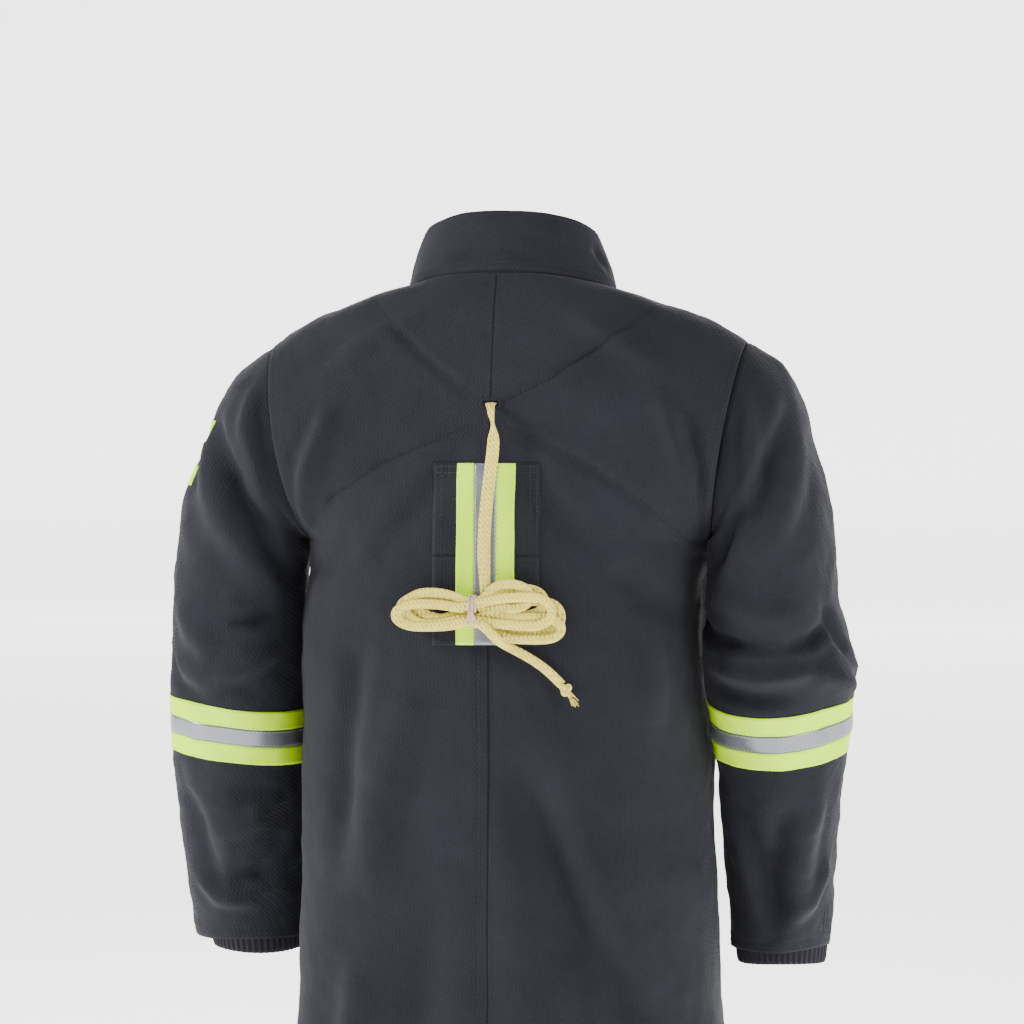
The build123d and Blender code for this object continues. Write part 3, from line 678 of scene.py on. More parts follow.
def sleeve_at(u, phi, inset=0.0):
    """Left sleeve points: u along it in mm, phi round it, 0 at the outside and a right angle behind."""
    u, phi = np.broadcast_arrays(np.asarray(u, float), np.asarray(phi, float))
    x, z, wide, deep, y, turn = (pchip(list(zip(ARC, column)), u.ravel()).reshape(u.shape)
                                 for column in zip(*SLEEVE))
    a = np.radians(turn)
    out = (wide - inset) * np.cos(phi)
    return np.stack([x + out * np.sin(a), y + (deep - inset) * np.sin(phi), z + out * np.cos(a)], -1)


def u_of(z):
    """How far along the sleeve a height on its centre line is."""
    return np.interp(-np.asarray(z), [-section[1] for section in SLEEVE], ARC)


SPREAD_U = np.linspace(0, U_END, 160)
SPREAD = sleeve_at(SPREAD_U[:, None], PHI[None, :]).reshape(-1, 3)
REARWARD = np.tile(np.sin(PHI), len(SPREAD_U))


def spot_on_sleeve(behind):
    """A function that carries (x, z), seen from behind or in front, onto the left sleeve."""
    seen = SPREAD[REARWARD > 0.02] if behind else SPREAD[REARWARD < -0.02]
    return lambda x, z: seen[np.argmin((seen[:, 0] - x) ** 2 + (seen[:, 2] - z) ** 2)]


FORE_FOLDS = folds_on(spot_on_sleeve(False), [
    (13, -4.0, 3.0, [(214, -180), (240, -215), (280, -240)]),
    (11, -4.0, 3.0, [(205, -290), (232, -318), (286, -322)]),
    (10, -4.5, -3.0, [(208, -340), (240, -352), (296, -340)]),
    (10, 3.6, 2.0, [(205, -372), (240, -378), (296, -366)]),
    (13, 3.0, 2.2, [(214, -500), (248, -522), (286, -516)])])
SLEEVE_FOLDS = {
    "left": folds_on(spot_on_sleeve(True), [
        (12, -4.5, 4.2, [(262, -130), (236, -185), (214, -226), (204, -262)]),
        (16, 3.0, 2.2, [(280, -150), (262, -215), (232, -270), (206, -300)]),
        (9, 3.0, -1.8, [(222, -100), (228, -140), (216, -185)]),
        (8, -2.6, 1.8, [(210, -305), (224, -316), (244, -318)]),
        (14, 2.4, 1.6, [(300, -300), (284, -330), (262, -350)]),
        (11, -2.2, 1.6, [(312, -330), (300, -372), (270, -384)]),
        (11, 2.4, -1.8, [(205, -345), (232, -366), (262, -372)]),
        (14, 2.4, 2.0, [(214, -470), (236, -500), (270, -512)]),
        (14, -2.4, 2.2, [(292, -470), (276, -520), (268, -566)]),
        (12, -2.4, 2.0, [(204, -520), (228, -556), (262, -566)]),
        (10, 2.4, 1.6, [(290, -560), (270, -580), (236, -586)])]) + FORE_FOLDS,
    "right": folds_on(spot_on_sleeve(True), [
        (11, -4.2, 3.6, [(256, -120), (238, -170), (216, -215), (204, -262)]),
        (9, 3.4, -2.2, [(214, -110), (226, -170), (218, -235), (210, -290)]),
        (16, 2.6, 2.2, [(276, -150), (262, -215), (240, -262)]),
        (8, -4.4, 4.0, [(192, -312), (220, -333), (254, -337)]),
        (8, -3.6, 3.2, [(258, -336), (280, -330), (300, -318)]),
        (8, 4.0, 3.0, [(214, -350), (240, -355), (278, -352)]),
        (12, 4.5, 2.0, [(280, -352), (300, -360), (314, -372)]),
        (8, -3.2, 2.4, [(204, -368), (232, -380), (262, -380)]),
        (10, -3.0, 1.0, [(296, -300), (306, -328), (312, -345)]),
        (12, 2.6, 1.8, [(210, -282), (236, -300), (268, -300)]),
        (14, -3.0, 2.6, [(206, -470), (226, -540), (232, -600)]),
        (15, 2.8, 2.4, [(292, -464), (278, -520), (270, -580)]),
        (12, -2.2, -2.2, [(256, -480), (248, -540), (254, -596)]),
        (11, 2.6, 1.6, [(300, -540), (280, -576), (250, -590)])]) + FORE_FOLDS}
# How each worn sleeve differs from the plain one, by height: its outer side, its place, its inner side.
OUTER = {"left": [(-640, 8), (-560, 6), (-450, 4), (-345, 4), (-200, 3), (-150, 0)],
         "right": [(-640, -15), (-540, -15), (-450, -11), (-393, -4), (-355, 1), (-330, -7), (-300, -14),
                   (-260, -13), (-205, -12), (-155, -10), (-110, -7), (0, 0)]}
ASIDE = {"left": [(-640, 9), (-450, 6), (-345, 4), (-250, 1), (-152, 0)], "right": [(0, 0)]}
INNER = {"left": [(0, 0)],
         "right": [(-640, 0), (-540, 3), (-450, 8), (-420, 12), (-385, 16), (-350, 20), (-300, 19),
                   (-230, 10), (-170, 0)]}
INNER_TURN = 2.4
RUMPLE_SEED = {"left": 5.0, "right": 11.0}


def sleeve_grid(side, us, phis, inset=0.0):
    """A dressed sleeve grid and its normals; us may hold one value per row or a (rows, cols) array."""
    us = np.asarray(us, float)
    u = us[:, None] * np.ones(len(phis)) if us.ndim == 1 else us
    p = np.asarray(phis, float) * np.ones(u.shape)
    g = sleeve_at(u, p)
    du = sleeve_at(np.minimum(u + 1.5, U_END), p) - sleeve_at(np.maximum(u - 1.5, 0), p)
    dp = sleeve_at(u, p + 0.01) - sleeve_at(u, p - 0.01)
    n = unit(np.cross(du, dp))
    if np.einsum("ijk,ijk->", g - sleeve_at(u, p, 40.0), n) < 0:
        n = -n
    pts, normals = g.reshape(-1, 3), n.reshape(-1, 3)
    seed = RUMPLE_SEED[side]
    move = folds_at(pts, normals, SLEEVE_FOLDS[side])
    move += rumple(pts, 60.0, 2.6, seed) + rumple(pts, 22.0, 0.9, seed + 2)
    turned, far, high = p.ravel(), u.ravel(), pts[:, 2]
    fade = np.clip(far / 16, 0, 1) * np.clip((U_END - far) / 20 + 0.35, 0, 1)
    clear = np.clip((pts[:, 0] - 192) / 12, 0, 1)
    move = np.where(move < 0, move, move * (0.25 + 0.75 * clear)) * fade
    shape = table_at(OUTER[side], high) * np.clip(np.cos(turned), 0, 1)
    shape += table_at(INNER[side], high) * np.clip(np.cos(turned - INNER_TURN), 0, 1) ** 1.5
    move += shape * np.clip(far / 60, 0, 1)
    g = (pts + normals * (move - inset)[:, None]).reshape(g.shape)
    g[:, :, 0] += table_at(ASIDE[side], g[:, :, 2])
    mirror = [-1, 1, 1] if side == "right" else [1, 1, 1]
    return g * mirror, n * mirror


def bent(o):
    """Bakes a sleeve piece's placement into its mesh; the piece is not bent at the elbow and rides on no body.
    """
    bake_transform(o)


US = np.concatenate([np.linspace(0, 120, 34), np.linspace(123, U_END, 128)])
# Under the edge of the armhole the sleeve's top is tucked in: how deep and how far.
TUCK = ((2.6, 9.0), (2.4, 6.0), (1.9, 3.0), (0.9, 1.0))


def sleeve_cloth(side, s):
    """The sleeve's shell and its liner."""
    g, n = sleeve_grid(side, US, PHI)
    into = np.array([-s * math.cos(TILT), 0, math.sin(TILT)])
    tucked = [g[0] - n[0] * deep + into * far for deep, far in TUCK]
    g, n = np.concatenate([tucked, g]), np.concatenate([[n[0]] * len(TUCK), n])
    bent(thick(side + "_sleeve", g, n, -1.5, 0.0, CLOTH, closed=True, body=None,
               replaces=[side + "_upper_sleeve_shell", side + "_forearm_shell"]))
    g, n = sleeve_grid(side, US[US < u_of(-598)], PHI[::2], 4.4)
    bent(thick(side + "_sleeve_liner", g, n, -1.8, 0.0, LINER, closed=True, body=None,
               replaces=[side + "_upper_sleeve_liner", side + "_forearm_liner"]))


# How each band lies: its dip behind, its roll to the outside and its rise.
BAND_LIE = {"left": (3.0, 7.5, 0.0), "right": (13.0, 0.5, 12.0)}
# Each strip: name, node, top, low, height off the cloth, material; they overlap a little.
STRIPS = (("lime_upper", "lime", -393, -410.4, 0.8, LIME),
          ("silver", "silver", -410.2, -426.6, 0.95, SILVER),
          ("lime_lower", "lime", -426.4, -443.8, 0.8, LIME))


def round_sleeve(lines, side, us, lift=0.1):
    """One row of stitches right round a sleeve."""
    g, n = sleeve_grid(side, us, PHI)
    lines.line(np.vstack([g[0], g[0, :1]]), np.vstack([n[0], n[0, :1]]), lift)


def band(side, s):
    """The reflective band: fluorescent cloth with a silver stripe along it, and its stitches."""
    dip, roll, rise = BAND_LIE[side]

    def band_rows(top, low, count):
        heights = rise + np.linspace(top, low, count)[:, None]
        return u_of(heights - dip * np.sin(PHI)[None, :] + roll * np.cos(PHI)[None, :])

    for name, stands_for, top, low, outer, mat in STRIPS:
        g, n = sleeve_grid(side, band_rows(top, low, 7), PHI)
        bent(thick(side + "_band_" + name, g, n, 0.1, outer, mat, closed=True, body=None,
                   replaces=[side + "_band_" + stands_for]))
    edges = Sewing()
    for z in (-395.2, -408.6, -412.2, -424.6, -428.4, -441.8):
        round_sleeve(edges, side, band_rows(z, z, 1), 0.9)
    bent(edges.make(side + "_band_stitches", THREAD_LIME, None))


def sleeve_stitches(side):
    """Two double rows down the sleeve, one round its top and two round its hem."""
    lines = Sewing()
    for phi in (0.62, 0.71, -0.9, -0.99):
        g, n = sleeve_grid(side, np.linspace(8, U_END - 6, 200), [phi])
        lines.line(g[:, 0], n[:, 0])
    for u in (3.0, U_END - 12, U_END - 5):
        round_sleeve(lines, side, [u])
    bent(lines.make(side + "_sleeve_stitches", THREAD, None))


# Rings of the ribbed cuff, down its outside and up inside its rolled end: centre and radius.
CUFF = [(250, -128, -584, 46.5), (249.6, -133, -600, 45.5), (249, -137, -612, 45.5),
        (248.7, -140, -624, 44.5), (248.5, -141.6, -631, 43.6), (248.5, -142, -634, 42.4),
        (248.5, -142, -634.2, 41.2), (248.5, -141.6, -632, 40.4), (248.6, -140, -622, 40.2),
        (249, -136, -606, 41.5), (250, -128, -586, 43)]
CUFF_RIBS = 48
# How far out each cuff hangs and how full it is.
CUFF_HANG = {"left": (8, 1.0), "right": (-6, 0.93)}


def cuff(side, s):
    around = np.linspace(0, 2 * math.pi, 6 * CUFF_RIBS + 1)[:-1]
    rib = 0.75 * signed_power(np.cos(CUFF_RIBS * around), 0.6) + 0.7 * np.sin(3 * around + 1.0 + s)
    out, full = CUFF_HANG[side]
    rings = []
    for x, y, z, radius in CUFF:
        r = radius * full + rib
        wavy = z + 1.2 * np.sin(2 * around + s) * (z < -618)
        rings.append(np.stack([s * (x + out + r * np.cos(around)), y + r * np.sin(around), wavy], 1))
    g = np.array(rings)
    faces = grid_faces(len(g), len(around), True, flip=s < 0)
    mesh(side + "_cuff_knit", g.reshape(-1, 3).tolist(), faces, KNIT, body=side + "_forearm",
         replaces=[side + "_knit_cuff"])


for side, s in SIDES:
    sleeve_cloth(side, s)
    band(side, s)
    sleeve_stitches(side)
    cuff(side, s)

# A plain three-bar mark on the outside of the left sleeve.
MARK_PHIS = np.linspace(0.02, 0.56, 16)
for k, (top, low) in enumerate(((-133, -144), (-153, -166), (-175, -193))):
    us = [[np.interp(-z, -sleeve_at(SPREAD_U, phi)[:, 2], SPREAD_U) for phi in MARK_PHIS]
          for z in np.linspace(top, low, 6)]
    g, n = sleeve_grid("left", us, MARK_PHIS)
    thick("sleeve_mark_%d" % (k + 1), g, n, 0.1, 0.7, LIME, body="left_upper_sleeve",
          replaces=["sleeve_mark"])


# ------------------------------------------------------------------ rope pocket on the back
def rearward(g):
    """A grid's normals, turned to face behind."""
    n = grid_normals(g)
    return n if n[n.shape[0] // 2, n.shape[1] // 2, 1] > 0 else -n


def patch(name, x0, x1, z0, z1, inner, outer, mat, stands_for, across=22, down=34):
    """A flat sewn piece lying on the back, its edges rolled down."""
    xs, zs = np.linspace(x0, x1, across), np.linspace(z1, z0, down)
    g = np.array([[back_hit(x, z)[0] for x in xs] for z in zs])
    to_side = np.minimum(xs - x0, x1 - xs)[None, :]
    to_end = np.minimum(zs - z0, z1 - zs)[:, None]
    edge = np.clip(np.minimum(to_side, to_end) / 3.0, 0, 1)[:, :, None]
    top = inner + (outer - inner) * (0.45 + 0.55 * edge ** 0.5)
    return thick(name, g, rearward(g), inner, top, mat, replaces=[stands_for])


ROPE_LEFT, ROPE_RIGHT, ROPE_TOP, ROPE_LOW, ROPE_SPLIT = 51, -45, -170, -332, -252.1
TAPE = (ROPE_LOW + 1, ROPE_TOP - 1)
patches = [
    patch("rope_pocket_upper_cloth", ROPE_RIGHT, ROPE_LEFT, ROPE_SPLIT - 0.2, ROPE_TOP, 0.1, 1.7, CLOTH,
          "rope_pocket_upper"),
    patch("rope_pocket_lower_cloth", ROPE_RIGHT, ROPE_LEFT, ROPE_LOW, ROPE_SPLIT + 0.2, 0.1, 1.7, CLOTH,
          "rope_pocket_lower"),
    patch("patch_tape_lime_left", 12.6, 29, *TAPE, 1.75, 2.15, LIME, "patch_tape_lime", 12, 60),
    patch("patch_tape_lime_right", -23, -6.6, *TAPE, 1.75, 2.15, LIME, "patch_tape_lime", 12, 60),
    patch("patch_tape_silver_stripe", -7, 13, *TAPE, 1.8, 2.35, SILVER, "patch_tape_silver", 12, 60)]
# Their stitches lie on these or on the plain CAD pieces, whichever stand out further.
PLAIN = [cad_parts[name] for name in ("rope_pocket_upper", "rope_pocket_lower", "patch_tape_lime",
                                           "patch_tape_silver")]
BACK_SKIN = bvh(patches + PLAIN + [bpy.data.objects[side + "_shell_back_cloth"] for side, _ in SIDES])


def patch_hit(x, z):
    return back_hit(x, z, BACK_SKIN)


for x in (-42.5, -37.0, 43.0, 48.5):
    sew([(x, ROPE_TOP - 2), (x, ROPE_LOW + 2)], patch_hit)
for z in (-173.5, -179.0, -328.5, -248.5, -256.0):
    sew([(-42, z), (-24, z)], patch_hit)
    sew([(30, z), (48, z)], patch_hit)
# Dark ribbons of painted shade where the pocket's upper and lower pieces meet.
for x0, x1 in ((-44.6, -24), (30, 50.6)):
    seam_shades.ribbon(*drawn([(x0, ROPE_SPLIT), (x1, ROPE_SPLIT)], patch_hit), SEAM_SHADE_WIDTH, 0.1)
tape_sewing = Sewing()
for x in (-21.6, -8.2, -5.6, 11.6, 14.2, 27.6):
    tape_sewing.line(*drawn([(x, ROPE_TOP - 3), (x, ROPE_LOW + 3)], patch_hit))
tape_sewing.make("patch_tape_stitches", THREAD_LIME)

# The bound slit the strap comes out of: a rounded welt round an oblong, and a near-black sheet of painted
# shade in the gap inside it.
SLIT_Z = -118


def slit():
    welt = []
    for a in np.linspace(0, 2 * math.pi, 33)[:-1]:
        x, up = 8.6 * signed_power(math.cos(a), 0.5), 3.4 * signed_power(math.sin(a), 0.7)
        p, n = back_hit(x, SLIT_Z + up)
        out = unit(np.array([x, 0, up * 2.0]))
        welt.append([p + out * 1.7 * math.cos(k) + n * (0.3 + 1.0 * math.sin(k))
                     for k in np.linspace(0, 2 * math.pi, 11)[:-1]])
    g = np.array(welt + welt[:1])
    rows, cols = g.shape[:2]
    last = (rows - 1) * cols
    faces = [tuple(k % last for k in face) for face in grid_faces(rows, cols, closed=True)]
    mesh("slit_edge", g[:-1].reshape(-1, 3).tolist(), faces, CLOTH, replaces=["slit_binding"])
    # A near-black sheet of painted shade inside the slit.
    gap_shade = np.array([[back_hit(x, SLIT_Z + up)[0] for x in np.linspace(-8, 8, 9)] for up in (-3, 0, 3)])
    thick("slit_gap_shade", gap_shade, outward(gap_shade), -0.4, 0.12, SEAM_SHADE)


def harness_web(name, x, z):
    """Webbing of the drag harness, from the slit towards (x, z), between the shell and the barrier."""
    reach = np.array([x, z - SLIT_Z])
    across = unit(np.array([-reach[1], reach[0]])) * 12.5
    rows = []
    for t in np.linspace(0.03, 0.97, 40):
        found = [back_hit(*(t * reach + q * across + [0, SLIT_Z])) for q in np.linspace(-1, 1, 7)]
        if all(p is not None for p, _ in found):
            rows.append([p - n * 1.9 for p, n in found])
    g = np.array(rows)
    thick(name, g, rearward(g), -1.0, 0.0, HARNESS, replaces=["drag_harness"])


slit()
for k, (x, z) in enumerate(((122, -30), (-122, -30), (178, -236), (-178, -236))):
    harness_web("harness_web_%d" % (k + 1), x, z)


# ------------------------------------------------------------------ rescue strap
def tube(name, path, half_width, half_depth, mat, sides=12, turn=None, **kw):
    """A tube of elliptical section; with turn its flat side faces behind, turned by those angles."""
    path = np.array(path, float)
    half_width, half_depth = np.broadcast_to(half_width, len(path)), np.broadcast_to(half_depth, len(path))
    w = np.array((1, 0, 0), float)
    verts = []
    for i, (c, d) in enumerate(zip(path, unit(np.gradient(path, axis=0)))):
        w = unit(w - d * (w @ d))
        if turn is not None:
            want = np.cross(d, (0, 1, 0))
            m = np.linalg.norm(want)
            if m > 0.3:
                w = w + 0.22 * want * (-1 if want @ w < 0 else 1)
                w = unit(w - d * (w @ d))
        twist = 0.0 if turn is None else turn[i]
        wide = w * math.cos(twist) + np.cross(d, w) * math.sin(twist)
        deep = np.cross(d, wide)
        for a in np.linspace(0, 2 * math.pi, sides + 1)[:-1]:
            verts.append(tuple(c + wide * half_width[i] * math.cos(a) + deep * half_depth[i] * math.sin(a)))
    last = (len(path) - 1) * sides
    faces = grid_faces(len(path), sides, True, flip=True)
    faces += [tuple(range(sides)), tuple(range(last, last + sides))[::-1]]
    return mesh(name, verts, faces, mat, **kw)


HANK_Z, HANK_Y, HANK_STEP = -301, 62.0, 3.1
# The hanging run from the slit, and the tail after the last turn, as listed points.
RUN_POINTS = [(0, 41.6, -118), (-2, 57.5, -120), (-6, 56, -148), (-1, 60.5, -190), (3, 64, -238),
              (0.5, 68.5, -281.5), (0.8, 65.5, -286.5), (3.4, 62.3, -291)]
TAIL_POINTS = [(2, 78.0, -311.5), (-5, 78.4, -318), (-11, 74.5, -325), (-15, 65, -329.5), (-36, 63.5, -340),
               (-54, 61, -352), (-66, 58, -365)]
# Each loop of the hank: x and z of its tip, and half its height.
LEFT_LOOPS = [(80, -305, 10), (64, -301, 13), (77, -300, 13), (58, -297, 10), (71, -298, 14), (79, -304, 10)]
RIGHT_LOOPS = [(-66, -305, 14), (-52, -292, 12), (-67, -315, 10), (-40, -287, 11), (-60, -300, 13)]


def loop(root, spread, leg, tip, z, h):
    """(x, z) points of one loop: out along a leg of (x, rise) points, round the tip, back along the other."""
    root_x, root_z = root
    there = [(root_x, root_z + spread)] + [(x, z + rise * h) for x, rise in leg]
    back = [(x, z - rise * h) for x, rise in leg[::-1]] + [(root_x, root_z - spread)]
    return there + [(tip, z)] + back


def left_loop(tip, z, h):
    leg = [(22, 0.62), (36, 0.95), (tip - 18, 1.02), (tip - 8, 0.8), (tip - 1.5, 0.42)]
    return loop((10.5, HANK_Z), 7.0, leg, tip, z, h)


def right_loop(tip, z, h):
    inner = -13 if tip < -50 else -9
    leg = [(inner, -0.86), (0.5 * (tip + inner), -1.0), (tip + 13, -0.95), (tip + 5, -0.74),
           (tip + 0.8, -0.36)]
    return loop((0, HANK_Z + (z - HANK_Z) * 0.3), -0.66 * h, leg, tip, z, h)


def strap_route():
    """The control points of the whole strap, each turn of the hank a step further behind."""
    turns = []
    for i, left in enumerate(LEFT_LOOPS):
        y = HANK_Y + HANK_STEP * i
        turns += [(x, y, z) for x, z in left_loop(*left)]
        if i < len(RIGHT_LOOPS):
            right = right_loop(*RIGHT_LOOPS[i])
            turns += [(x, y + HANK_STEP * k / (len(right) - 1), z) for k, (x, z) in enumerate(right)]
    uneven = [(x, y + 0.5 * math.sin(2.4 * k + 1), z) for k, (x, y, z) in enumerate(turns, 1)]
    return RUN_POINTS + uneven + TAIL_POINTS


def smooth_line(points):
    """The points along a NURBS curve that the given points control."""
    curve = bpy.data.curves.new("strap_line", "CURVE")
    curve.dimensions = "3D"
    spline = curve.splines.new("NURBS")
    spline.points.add(len(points) - 1)
    for q, p in zip(spline.points, points):
        q.co = (p[0] * MM, p[1] * MM, p[2] * MM, 1)
    spline.order_u = 3
    spline.use_endpoint_u = True
    spline.resolution_u = 8
    carrier = add("strap_line", curve)
    bpy.context.view_layer.update()
    seen = bpy.data.meshes.new_from_object(carrier.evaluated_get(bpy.context.evaluated_depsgraph_get()))
    centres = np.array([v.co[:] for v in seen.vertices]) / MM
    bpy.data.objects.remove(carrier)
    bpy.data.meshes.remove(seen)
    return centres[np.concatenate([[True], np.linalg.norm(np.diff(centres, axis=0), axis=1) > 0.05])]


centres = smooth_line(strap_route())
run = run_along(centres)
# The strap is wider and thinner where it hangs, pinched just out of the slit, and turns over once there.
hanging = np.clip((178 - run) / 30, 0, 1)
pinch = 1 - 0.35 * np.exp(-((run - 12) / 9) ** 2)
turn = 1.15 * np.exp(-((run - 26) / 11) ** 2) + 0.12 * np.sin(run / 31.0)
strap = tube("rescue_strap", centres, (4.3 + 1.4 * hanging) * pinch, 1.45 - 0.35 * hanging, STRAP, turn=turn,
             replaces=["rescue_strap_run", "rescue_strap_hank", "rescue_strap_tail"])


def twine():
    """The twine round the hank and its two ends."""
    full = 2 * math.pi * 3.3
    wraps = [(7.2 + 6.4 * a / full + 0.5 * math.sin(a * 1.3), 69.8 + 11.2 * math.cos(a),
              HANK_Z + 14.0 * math.sin(a)) for a in np.linspace(0, full, 150)]
    made = [tube("strap_tie_wraps", wraps, 0.95, 0.95, TIE, sides=8, replaces=["strap_tie"])]
    for k, (dx, dz) in enumerate(((7, -11), (-5, -12))):
        end = [(10.5 + dx * t, 81.2 - 2.5 * t * t, -300 + dz * t) for t in np.linspace(0, 1, 12)]
        made.append(tube("tie_end_%d" % (k + 1), end, 0.8, 0.8, TIE, sides=8, replaces=["strap_tie"]))
    return made


def knot():
    """A trefoil at the end of the strap."""
    centre = np.array([-69.5, 59.3, -369])
    path = []
    for a in np.linspace(0, 2 * math.pi, 61):
        x, z = math.sin(a) + 2 * math.sin(2 * a), math.cos(a) - 2 * math.cos(2 * a)
        path.append(centre + np.array([x, -math.sin(3 * a) * 1.3, z]) * 1.45)
    return tube("strap_knot", path, 2.1, 1.7, STRAP, sides=10, replaces=["strap_end_knot"])


def fray(name, k):
    """A loose end of yarn behind the knot."""
    draw = random.uniform
    tip_x, tip_z = -79 + draw(-4, 4.5), -380 + draw(-4.5, 2.5)
    start = np.array([-71.5 + draw(-1.5, 1.5), 58.2 + draw(-0.8, 1.2), -372 + draw(-1.5, 1.5)])
    tip = np.array([tip_x, 57.8 + draw(0, 4), tip_z])
    path = [start + (tip - start) * t + np.array([draw(-0.3, 0.3), 0, 0.9 * math.sin(3 * t + k)])
            for t in np.linspace(0, 1, 8)]
    radius = np.linspace(0.7, 0.28, 8)
    return tube(name, path, radius, radius, STRAP, sides=6, replaces=["strap_end_knot"])


tied = twine()
tied.append(knot())
tied += [fray("strap_fray_%02d" % (k + 1), k) for k in range(18)]

# ------------------------------------------------------------------ places on the front
# Each place carries (u across, v up, w out) on a plane into the coat's own millimetres.
LEAN = math.atan2(FRONT_LEAN, FRONT_TOP - HEM)
COLLAR_LEAN = math.atan2(8, 48)
# The left pocket's plane, turned round the coat's side.
TURN = math.radians(21)
POCKET_U = np.array([math.cos(TURN), math.sin(TURN), 0])
POCKET_W = np.array([math.sin(TURN) * math.cos(LEAN), -math.cos(TURN) * math.cos(LEAN), math.sin(LEAN)])
POCKET_V = np.cross(POCKET_W, POCKET_U)
POCKET_AT = np.array([114.007, -196.804, -543.767]) - POCKET_V * 111 - POCKET_W * 5.2


def leaning(lean):
    return lambda u, v, w: np.array([u, MID - FRONT_OUT + v * math.sin(lean) - w * math.cos(lean),
                                     FRONT_TOP + v * math.cos(lean) + w * math.sin(lean)])


front, throat = leaning(LEAN), leaning(COLLAR_LEAN)


def front_side(s):
    return lambda u, v, w: front(s * u, v, w)


def pocket_side(s):
    return lambda u, v, w: (POCKET_AT + POCKET_U * u + POCKET_V * v + POCKET_W * w) * [s, 1, 1]


ROLL = 2.2


def pad(name, place, us, vs, ws, mat, stands_for, body="coat", rim=0.6, wave=0.0, across=12, up=60,
        profile=None, mirrored=False):
    """A flat stitched cloth piece with rolled edges, in a plane's own coordinates."""
    def marks(ends, count):
        close = [0, 0.35, 1.0, ROLL]
        even = np.linspace(ends[0] + 3, ends[1] - 3, count)
        return sorted(set([ends[0] + k for k in close] + [ends[1] - k for k in close] + list(even)))

    top, low = [], []
    for v in marks(vs, up):
        a, b = [], []
        for u in marks(us, across):
            edge = min(u - us[0], us[1] - u, v - vs[0], vs[1] - v, ROLL) / ROLL
            drop = rim * (1 - math.sqrt(max(0, 1 - (1 - edge) ** 2)))
            lift = profile(v) if profile else 0.0
            lift += wave * math.sin(v / 41.0 + u / 60.0) * min(1, abs(u - us[1]) / 20)
            lift += 0.3 * wave * math.sin(v / 13.0 + 2)
            a.append(place(u, v, ws[1] - drop + lift))
            b.append(place(u, v, ws[0] + 0.4 * drop + lift))
        top.append(a)
        low.append(b)
    return slab(name, np.array(top), np.array(low), mat, not mirrored, body=body, replaces=[stands_for])


def stitch_on(place, lines, body, name, w, step=4.0):
    """Rows of stitches along (u, v) polylines on a plane, at the height w."""
    made = Sewing()
    for line in lines:
        pts, normals = [], []
        for (u0, v0), (u1, v1) in zip(line, line[1:]):
            for t in np.linspace(0, 1, max(int(math.hypot(u1 - u0, v1 - v0) / step), 2)):
                u, v = u0 + (u1 - u0) * t, v0 + (v1 - v0) * t
                pts.append(place(u, v, w))
                normals.append(place(u, v, w + 1) - place(u, v, w))
        made.line(pts, normals)
    return made.make(name, THREAD, body)


def rows_up(xs, low, high):
    """Straight upright lines at several places across."""
    return [[(x, high), (x, low)] for x in xs]


# ------------------------------------------------------------------ storm flap
FLAP_V, STRIP_U, STRIP_V = (-752, -62), (-29, -13), (-742, -72)
pad("storm_flap_cloth", front, (-30, 32), FLAP_V, (3.9, 6.3), CLOTH, "storm_flap", "storm_flap",
    wave=0.35, up=160)
stitch_on(front, rows_up((29, 23), -746, -70) + [[(28, -66), (-26, -66), (-26, -748), (28, -748)]]
          + rows_up((-20, -7), -742, -72), "storm_flap", "storm_flap_stitches", 6.45)
for name, us, vs, ws, mat, stands_for, body, rim in (
        ("storm_hook_strip", STRIP_U, STRIP_V, (2.15, 3.85), HOOK, "storm_flap_hook_strip", "storm_flap", 0.3),
        ("storm_loop_strip", STRIP_U, STRIP_V, (0.1, 1.6), HOOK, "storm_flap_loop_strip", "coat", 0.3),
        ("storm_flap_seam", (30.2, 37), FLAP_V, (0.1, 3.0), CLOTH, "storm_flap_root", "coat", 0.8)):
    pad(name, front, us, vs, ws, mat, stands_for, body, rim, across=6, up=80)

# ------------------------------------------------------------------ zip cloths, facings and pockets
POCKET_FRONT, POCKET_HALF_U, POCKET_HALF_V = 13.0, 51.6, 84.6
FLAP_CLIMBS_AT = 86


def closure(side, s):
    """The zip's cloth, the facing behind it and the topstitching beside it."""
    pad(side + "_zip_cloth", front_side(s), (3.4, 17.4), (-690, -12), (-2.9, -2.1), ZIP_CLOTH,
        side + "_zip_tape", rim=0.2, across=5, up=80, mirrored=s < 0)
    pad(side + "_front_facing", front_side(s), (21.5, 38.5), (-770, -12), (-6.8, -4.4), CLOTH,
        "front_facings", rim=0.5, across=6, up=80, mirrored=s < 0)
    sew([(s * 12, -60), (s * 12, -800)], front_hit)


def gusset(side, s):
    """The pocket's walls, running back to the coat on three sides and folded once."""
    place = pocket_side(s)
    a, b = POCKET_HALF_U, POCKET_HALF_V
    left = [(-a, b), (-a, 40), (-a, 0), (-a, -40), (-a, -80)]
    outline = left + [(-48, -b), (0, -b), (48, -b)] + [(-u, v) for u, v in left[::-1]]
    wall = []
    for u, v in outline:
        base = place(u, v, POCKET_FRONT)
        p, _ = hit(base, place(u, v, 0.0) - place(u, v, 1.0))
        deep = POCKET_FRONT - (np.linalg.norm(p - base) if p is not None else POCKET_FRONT) + 0.4
        ring = []
        for t in (0.0, 0.25, 0.5, 0.75, 1.0):
            fold = 2.2 * math.sin(math.pi * t)
            w = POCKET_FRONT + (deep - POCKET_FRONT) * t
            ring.append(place(u * (1 - fold / 52), v * (1 - fold / 85), w))
        wall.append(ring)
    wall = np.array(wall)
    thick(side + "_pocket_gusset", wall, -s * grid_normals(wall), -0.8, 0.6, CLOTH,
          replaces=[side + "_pocket"])


def cover(v):
    """The flap lies on the pocket and climbs over its top to the coat."""
    return -12.7 * min(1.0, max(v - FLAP_CLIMBS_AT, 0) / 23.0) ** 1.15


